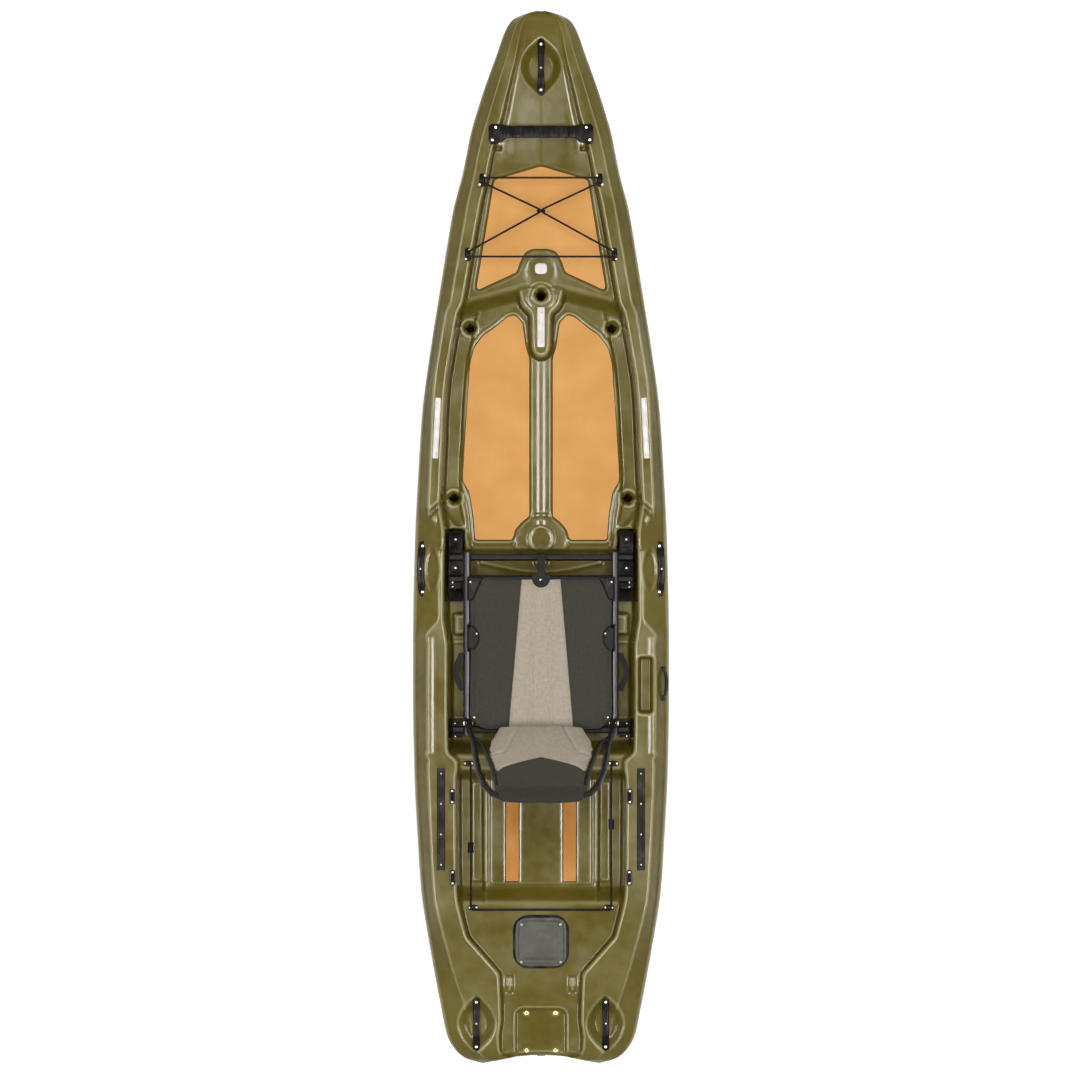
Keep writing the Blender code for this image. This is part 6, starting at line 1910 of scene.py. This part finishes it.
def blow(blank: bpy.types.Object, cap: float, voxel: float) -> bpy.types.Mesh:
    """Remesh a blank and swell it as cloth under pressure.

    Args:
        blank: the plain closed pad.
        cap: how far a point may move.
        voxel: the remesh size in metres.

    Returns:
        The finished mesh, one subdivision finer.
    """
    scene = bpy.context.scene
    step = blank.modifiers.new("remesh", "REMESH")
    step.mode = "VOXEL"
    step.voxel_size = voxel
    graph = bpy.context.evaluated_depsgraph_get()
    mesh = bpy.data.meshes.new_from_object(blank.evaluated_get(graph))
    bpy.data.objects.remove(blank)
    item = bpy.data.objects.new("blown", mesh)
    scene.collection.objects.link(item)
    start = [v.co.copy() for v in mesh.vertices]
    cloth = item.modifiers.new("cloth", "CLOTH")
    cloth.settings.use_pressure = True
    cloth.settings.uniform_pressure_force = 4.0
    cloth.settings.effector_weights.gravity = 0.0
    cloth.settings.tension_stiffness = 20
    cloth.settings.compression_stiffness = 20
    cloth.point_cache.frame_start = 1
    cloth.point_cache.frame_end = 20
    for number in range(1, 21):
        scene.frame_set(number)
    graph = bpy.context.evaluated_depsgraph_get()
    moved = bpy.data.meshes.new_from_object(item.evaluated_get(graph))
    for vertex, origin, target in zip(mesh.vertices, start, moved.vertices):
        shift = target.co - origin
        if shift.length > cap:
            shift *= cap / shift.length
        vertex.co = origin + shift
    item.modifiers.clear()
    bpy.data.meshes.remove(moved)
    scene.frame_set(1)
    finer = item.modifiers.new("finer", "SUBSURF")
    finer.levels = 1
    graph = bpy.context.evaluated_depsgraph_get()
    result = bpy.data.meshes.new_from_object(item.evaluated_get(graph))
    bpy.data.objects.remove(item)
    return result


@dataclass
class SeatTrim:
    """Patches, rivets, tab and hanging straps of the seat."""

    body: str = "seat_body"

    def build(self, cushion: bpy.types.Object, finishes: Finishes) -> None:
        """Corner and side patches laid on the cushion, with rivets, and the straps.

        Args:
            cushion: the finished seat cushion.
            finishes: every finish of the kayak.
        """
        graph = bpy.context.evaluated_depsgraph_get()
        tree = BVHTree.FromObject(cushion, graph)

        def top(x: float, y: float) -> float:
            """Height of the cushion's top under a place."""
            hit = tree.ray_cast(Vector((x, y, 0.5)), Vector((0, 0, -1)))[0]
            return hit.z if hit else 0.372

        shape = Shape()
        for side in (-1, 1):
            corner = np.array([(0.190, -0.122), (0.246, -0.122), (0.246, -0.205),
                               (0.225, -0.200)]) * (side, 1)
            half = [(0.246, -0.280)] + [(0.246 - 0.042 * math.sin(t), -0.327 + 0.047 * math.cos(t))
                                        for t in np.linspace(0.0, math.pi, 12)][1:]
            bow = np.array(half) * (side, 1)
            for outline in (rounded(corner, 0.006), bow):
                outline = anticlockwise(resample(outline, 0.006))
                rows = []
                for inset_by, lift in ((0, 0.0002), (0, 0.0016), (0.001, 0.0022), (0.010, 0.0022)):
                    flat = inset(outline, inset_by)
                    rows.append(np.array([(x, y, min(top(x, y) + lift, 0.3925)) for x, y in flat]))
                shape.grid(rows)
                rim = inset(outline, 0.003)
                shape.tube(np.array([(x, y, min(top(x, y) + 0.0028, 0.3930)) for x, y in rim]), 0.0018, 8, 2,
                           closed=True)
            for x, y in ((0.214, -0.312), (0.223, -0.592), (0.236, -0.140)):
                shape.screw((side * x, y, min(top(side * x, y), 0.3885) + 0.0014), radius=0.0040)
        shape.put("seat_patches", [finishes.webbing, finishes.steel, finishes.nylon],
                  self.body)
        tab = Shape()
        turns = np.linspace(math.pi, math.tau, 17)
        half_round = np.column_stack((0.030 * np.cos(turns), -0.128 + 0.031 * np.sin(turns)))
        outline = anticlockwise(np.vstack((half_round, [(0.030, -0.114), (-0.030, -0.114)])))
        rows = []
        for inset_by, lift in ((0, 0.0005), (0, 0.0020), (0.0012, 0.0028), (0.010, 0.0028)):
            flat = inset(outline, inset_by)
            rows.append(np.array([(x, y, min(top(x, min(y, -0.125)) + lift, 0.3920)) for x, y in flat]))
        tab.grid(rows)
        tab.screw((0.0, -0.133, min(top(0.0, -0.133), 0.3885) + 0.0026), radius=0.0050)
        strap = [(-0.0575, 0.3360), (-0.0500, 0.3480), (-0.0560, 0.3600), (-0.0760, 0.3680),
                 (-0.1000, 0.3800),
                 (-0.1220, 0.3850)]
        line = smooth_line([(0.0, y, z) for y, z in strap], 20)
        rows = [np.array([(-0.013, p[1], p[2] - 0.0008), (0.013, p[1], p[2] - 0.0008),
                          (0.013, p[1], p[2] + 0.0012), (-0.013, p[1], p[2] + 0.0012)]) for p in line]
        tab.grid(rows)
        tab.put("seat_front_tab_sewn", [finishes.webbing, finishes.steel], self.body,
                ("seat_front_tab",))
        for name, side in SIDES:
            low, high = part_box(f"seat_strap_{name}")
            reach = max(abs(low.x), abs(high.x))
            line = smooth_line([(side * (reach - 0.022), high.y, 0.351),
                                (side * (reach - 0.006), high.y - 0.040, 0.346),
                                (side * (reach - 0.004), high.y - 0.078, 0.340),
                                (side * (reach - 0.014), low.y + 0.020, 0.338),
                                (side * (reach - 0.023), low.y, 0.343)], 24)
            loop = Shape()
            rows = []
            for p in line:
                rows.append(np.array([(p[0] - 0.0100, p[1], p[2] - 0.0050),
                                      (p[0] - 0.0090, p[1], p[2] - 0.0058),
                                      (p[0] + 0.0100, p[1], p[2] + 0.0050),
                                      (p[0] + 0.0090, p[1], p[2] + 0.0058)]))
            loop.grid(rows)
            loop.put(f"seat_strap_{name}_webbing", [finishes.webbing], self.body,
                     (f"seat_strap_{name}",))


@dataclass
class ShockCords:
    """The lashing over the front pad and the cord round the tankwell, each one smooth braided run."""

    radius: float = 0.0033
    wrap: float = 0.0073
    front_post: Point = (0.1954, 1.2002, 0.3914)
    clip_post: Point = (0.0106, 1.0978, 0.38415)
    rear_post: Point = (0.24455, 0.9531, 0.3769)
    tank_post: Point = (0.2282, -1.2337, 0.3100)
    tank_end: Point = (0.2355, -0.7484, 0.3350)
    body: str = "hull_body"

    def bend(self, centre: Point, start: float, turn: float) -> np.ndarray:
        """The part of a cord that lies round one post.

        Args:
            centre: the post's middle at the cord's height, in metres.
            start: the angle in degrees at which the cord first touches.
            turn: how far it goes round in degrees, negative for clockwise.

        Returns:
            Points along the cord.
        """
        angles = np.radians(np.linspace(start, start + turn, max(4, int(abs(turn) / 12))))
        return np.column_stack((centre[0] + self.wrap * np.cos(angles),
                                centre[1] + self.wrap * np.sin(angles),
                                np.full(len(angles), centre[2])))

    def run(self, bends: list[np.ndarray], step: float = 0.006) -> np.ndarray:
        """Join the bends with straight stretches of closely spaced points.

        Args:
            bends: the bends in order.
            step: spacing in metres.

        Returns:
            Points along the cord.
        """
        points = [bends[0]]
        for last, following in zip(bends, bends[1:]):
            count = max(2, int(np.linalg.norm(following[0] - last[-1]) / step))
            points.append(last[-1] + (following[0] - last[-1]) * np.linspace(0, 1, count + 1)[1:-1, None])
            points.append(following)
        return np.concatenate(points)

    def lashing(self, finishes: Finishes) -> None:
        """The closed cord on the bow: across both ends, and crossing at the clip.

        Args:
            finishes: every finish of the kayak.
        """
        middle = np.array([(0.0, self.front_post[1] + self.wrap, self.front_post[2])])
        front = self.bend(self.front_post, 90.0, -151.0)
        clip = self.bend(self.clip_post, 118.9, 119.4)
        rear = self.bend(self.rear_post, 58.3, -148.3)
        end = np.array([(0.0, self.rear_post[1] - self.wrap, self.rear_post[2])])
        half = self.run([middle, front, clip, rear, end])
        other = (half * (-1, 1, 1))[::-1]
        shape = Shape()
        shape.tube(np.concatenate((half, other[1:-1])), self.radius, 12, closed=True)
        shape.put("bow_lashing_cord", [finishes.cord], self.body, instead=("bow_shock_cord",))

    def tankwell(self, finishes: Finishes) -> None:
        """The open cord that runs aft down one side of the tankwell, across, and forward again.

        Args:
            finishes: every finish of the kayak.
        """
        start = np.array([self.tank_end])
        corner = self.bend(self.tank_post, 0.0, -90.0)
        end = np.array([(0.0, self.tank_post[1] - self.wrap, self.tank_post[2])])
        half = self.run([start, corner, end])
        other = (half * (-1, 1, 1))[::-1]
        shape = Shape()
        shape.tube(np.concatenate((half, other[1:])), self.radius, 12)
        shape.put("tankwell_braided_cord", [finishes.cord], self.body,
                  instead=("tankwell_shock_cord",))

    def build(self, finishes: Finishes) -> None:
        """Lay both cords."""
        self.lashing(finishes)
        self.tankwell(finishes)


@dataclass
class SaddleHardware:
    """Knobs, ribs and screws on the saddles that take the seat frame's tube ends."""

    front_x: float = 0.2860
    rear_x: float = 0.2800
    foot: float = 0.3310
    knobs: Pairs = ((0.0020, 0.0150), (-0.0935, 0.0135))
    front_ribs: tuple[float, ...] = (-0.0235, 0.0215, -0.0745, -0.1130, -0.1530)
    rear_ribs: tuple[float, ...] = (-0.6140, -0.6570)
    front_layers: Pairs = ((0, 0.3310), (0, 0.3345), (0.0008, 0.3355))
    rear_layers: Pairs = ((0, 0.3310), (0, 0.3340), (0.0008, 0.3350))
    body: str = "hull_body"

    def knob(self, shape: Shape, place: Point, radius: float, height: float) -> None:
        """A fluted clamp knob with a screw in its middle.

        Args:
            shape: the mesh in the making.
            place: the middle of its foot.
            radius: the radius in metres.
            height: its height in metres.
        """
        turns = np.arange(36) * math.tau / 36
        flutes = radius * (1 + 0.07 * np.cos(9 * turns))
        rows = []
        steps = ((1.0, 0.0), (1.0, height * 0.7), (0.9, height * 0.95), (0.62, height), (0.56, height * 0.8),
                 (0.30, height * 0.8))
        for share, lift in steps:
            rows.append(np.column_stack((place[0] + share * flutes * np.cos(turns),
                                         place[1] + share * flutes * np.sin(turns),
                                         np.full(36, place[2] + lift))))
        shape.grid(rows)
        shape.screw((place[0], place[1], place[2] + height * 0.8), radius=0.0042)

    def build(self, finishes: Finishes) -> None:
        """Dress the front and the rear saddle on each side.

        Args:
            finishes: every finish of the kayak.
        """
        for name, side in SIDES:
            shape = Shape()
            x = side * self.front_x
            for y, radius in self.knobs:
                self.knob(shape, (x, y, self.foot), radius, 0.0085)
            for y in self.front_ribs:
                rib = resample(box_outline(0.0175, 0.0028, 0.0012, (x, y)), 0.003)
                shape.slab(rib, list(self.front_layers))
            for y in (-0.1560, -0.1420):
                shape.screw((x + side * 0.010, y, 0.3318), radius=0.0036)
            shape.put(f"front_saddle_clamps_{name}", [finishes.nylon, finishes.steel],
                      self.body)
            rear = Shape()
            for y in self.rear_ribs:
                rib = resample(box_outline(0.0115, 0.0030, 0.0012, (side * self.rear_x, y)), 0.003)
                rear.slab(rib, list(self.rear_layers))
                rear.screw((side * 0.2870, y, 0.3348), radius=0.0030)
            rear.put(f"rear_saddle_clamps_{name}", [finishes.nylon, finishes.steel], self.body)


# Carried-over pieces

@dataclass
class KeptPieces:
    """CAD nodes whose shape is already right, given their real finish."""

    def build(self, finishes: Finishes) -> None:
        """Assign a finish to every CAD node that stays shown.

        Args:
            finishes: every finish of the kayak.
        """
        plan = {
            "backrest_bolt_": finishes.steel, "backrest_frame": finishes.tube, "seat_frame": finishes.tube,
            "front_saddle_": finishes.nylon, "rear_saddle_": finishes.nylon, "bow_cord_clip": finishes.nylon,
            "cord_hook_": finishes.nylon, "drain_plug": finishes.nylon, "paddle_keeper": finishes.rubber,
            # the hatch seal is black rubber, and its margin round the lid also stands in for the shade of the
            # gap round the lid: partly painted shade
            "rear_hatch_seal": finishes.rubber,
        }
        for name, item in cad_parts.items():
            for start, material in plan.items():
                if name.startswith(start):
                    for number in range(max(1, len(item.material_slots))):
                        if not item.material_slots:
                            item.data.materials.append(material)
                        item.material_slots[number].material = material
                    LOG.info("%s: kept with %s", name, material.name)


# Stage, lamps and camera

@dataclass
class Studio:
    """A pale floor and surround, lamps split by kind of ray, a dark card and the camera."""

    width: float = 3.618
    plane: float = 0.33
    height: float = 12.0
    sensor: float = 36.0
    lamp: float = 6.3
    strip: float = 42.0
    side_box: float = 44.0
    sky: float = 0.31
    glow: float = 0.56
    floor_reach: float = 30.0
    card_half: tuple[float, float] = (2.6, 5.0)
    card_lift: float = 0.8
    box_place: Point = (0.0, 0.0, 9.0)
    box_size: tuple[float, float] = (4.0, 9.0)
    strip_place: Point = (1.35, -0.3, 9.0)
    strip_size: tuple[float, float] = (0.5, 7.0)
    side_place: Point = (3.3, -1.2, 8.0)
    side_size: tuple[float, float] = (1.2, 5.0)
    aim_x: float = -0.0034

    def world(self) -> None:
        """Light the object evenly, and show plain white to the camera, in reflections and through glass."""
        world = bpy.data.worlds.new("pale_surround")
        bpy.context.scene.world = world
        world.use_nodes = True
        tree = world.node_tree
        back = tree.nodes["Background"]
        path = add_node(tree, "ShaderNodeLightPath").outputs
        seen = path["Is Camera Ray"]
        for kind in ("Is Glossy Ray", "Is Transmission Ray"):
            seen = add_node(tree, "ShaderNodeMath", {0: seen, 1: path[kind]}, operation="MAXIMUM").outputs[0]
        strength = add_node(tree, "ShaderNodeMapRange", {0: seen, 3: self.sky, 4: 1.0}).outputs[0]
        back.inputs["Color"].default_value = (1, 1, 1, 1)
        tree.links.new(strength, back.inputs["Strength"])

    def floor(self) -> None:
        """A wide white sheet that keeps the object's shadow."""
        shape = Shape()
        ticks = np.linspace(-self.floor_reach, self.floor_reach, 5)
        shape.grid([np.array([(x, y, -0.0005) for x in ticks]) for y in ticks], ring=False)
        mesh = bpy.data.meshes.new("floor_sheet")
        mesh.from_pydata(np.concatenate(shape.points).tolist(), [], shape.faces)
        item = bpy.data.objects.new("floor_sheet", mesh)
        bpy.context.scene.collection.objects.link(item)
        material = bpy.data.materials.new("white_floor")
        material.use_nodes = True
        tree = material.node_tree
        shader = tree.nodes["Principled BSDF"]
        shader.inputs["Base Color"].default_value = (0.86, 0.86, 0.86, 1)
        shader.inputs["Roughness"].default_value = 0.9
        path = add_node(tree, "ShaderNodeLightPath").outputs
        shader.inputs["Emission Color"].default_value = (1, 1, 1, 1)
        glow = add_node(tree, "ShaderNodeMath", {0: path["Is Camera Ray"], 1: self.glow},
                        operation="MULTIPLY").outputs[0]
        tree.links.new(glow, shader.inputs["Emission Strength"])
        mesh.materials.append(material)

    def soft_box(self, name: str, place: Point, size_x: float, size_y: float, radiance: float,
                 sheen: bool) -> None:
        """One rectangular lamp that faces straight down.

        Args:
            name: the lamp's name.
            place: where it hangs, in metres.
            size_x: its width.
            size_y: its length.
            radiance: its brightness.
            sheen: True shows it only in reflections, False lights matt surfaces only.
        """
        data = bpy.data.lights.new(name, "AREA")
        data.shape = "RECTANGLE"
        data.size, data.size_y = size_x, size_y
        data.energy = radiance * math.pi * size_x * size_y
        lamp = bpy.data.objects.new(name, data)
        lamp.location = place
        lamp.visible_camera = False
        lamp.visible_glossy = sheen
        lamp.visible_diffuse = not sheen
        bpy.context.scene.collection.objects.link(lamp)

    def dark_card(self) -> None:
        """A dark card above the camera that level glossy faces reflect instead of the pale surround."""
        shape = Shape()
        half_x, half_y = self.card_half
        shape.grid([np.array([(x, y, self.height + self.card_lift) for x in np.linspace(-half_x, half_x, 3)])
                    for y in np.linspace(-half_y, half_y, 3)], ring=False)
        mesh = bpy.data.meshes.new("dark_card")
        mesh.from_pydata(np.concatenate(shape.points).tolist(), [], shape.faces)
        item = bpy.data.objects.new("dark_card", mesh)
        bpy.context.scene.collection.objects.link(item)
        material = bpy.data.materials.new("dark_card_felt")
        material.use_nodes = True
        shader = material.node_tree.nodes["Principled BSDF"]
        shader.inputs["Base Color"].default_value = (0.02, 0.02, 0.02, 1)
        shader.inputs["Roughness"].default_value = 0.95
        mesh.materials.append(material)

    def lights(self) -> None:
        """One broad lamp that lights matt surfaces only, and four long ones that show only in reflections."""
        self.soft_box("soft_box", self.box_place, *self.box_size, self.lamp, False)
        for name, side in SIDES:
            x, y, z = self.strip_place
            self.soft_box(f"strip_{name}", (side * x, y, z), *self.strip_size, self.strip, True)
            x, y, z = self.side_place
            self.soft_box(f"side_box_{name}", (side * x, y, z), *self.side_size, self.side_box, True)

    def camera(self) -> None:
        """Straight down over the middle, bow at the top of the picture."""
        data = bpy.data.cameras.new("camera")
        data.sensor_width = self.sensor
        data.lens = self.sensor * (self.height - self.plane) / self.width
        item = bpy.data.objects.new("camera", data)
        item.location = (self.aim_x, 0.0, self.height)
        bpy.context.scene.collection.objects.link(item)
        bpy.context.scene.camera = item

    def build(self) -> None:
        """Set the stage."""
        self.world()
        self.floor()
        self.dark_card()
        self.lights()
        self.camera()
        bpy.context.scene.view_settings.view_transform = "Standard"


def main() -> None:
    """Build every sub-assembly in order."""
    logging.basicConfig(level=logging.INFO, format="%(name)s: %(message)s")
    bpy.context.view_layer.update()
    finishes = Finishes()
    hull = HullShell()
    hull.build(finishes)
    FoamPads(hull).build(finishes)
    GearTracks(hull).build(finishes)
    DeckFittings(hull).build(finishes)
    cushion = SeatCushion().build(finishes)
    SeatTrim().build(cushion, finishes)
    SaddleHardware().build(finishes)
    ShockCords().build(finishes)
    back = BackCushion()
    back.build(finishes)
    HeadSleeve(back).build(finishes)
    KeptPieces().build(finishes)
    Studio().build()


if __name__ == "__main__":
    main()
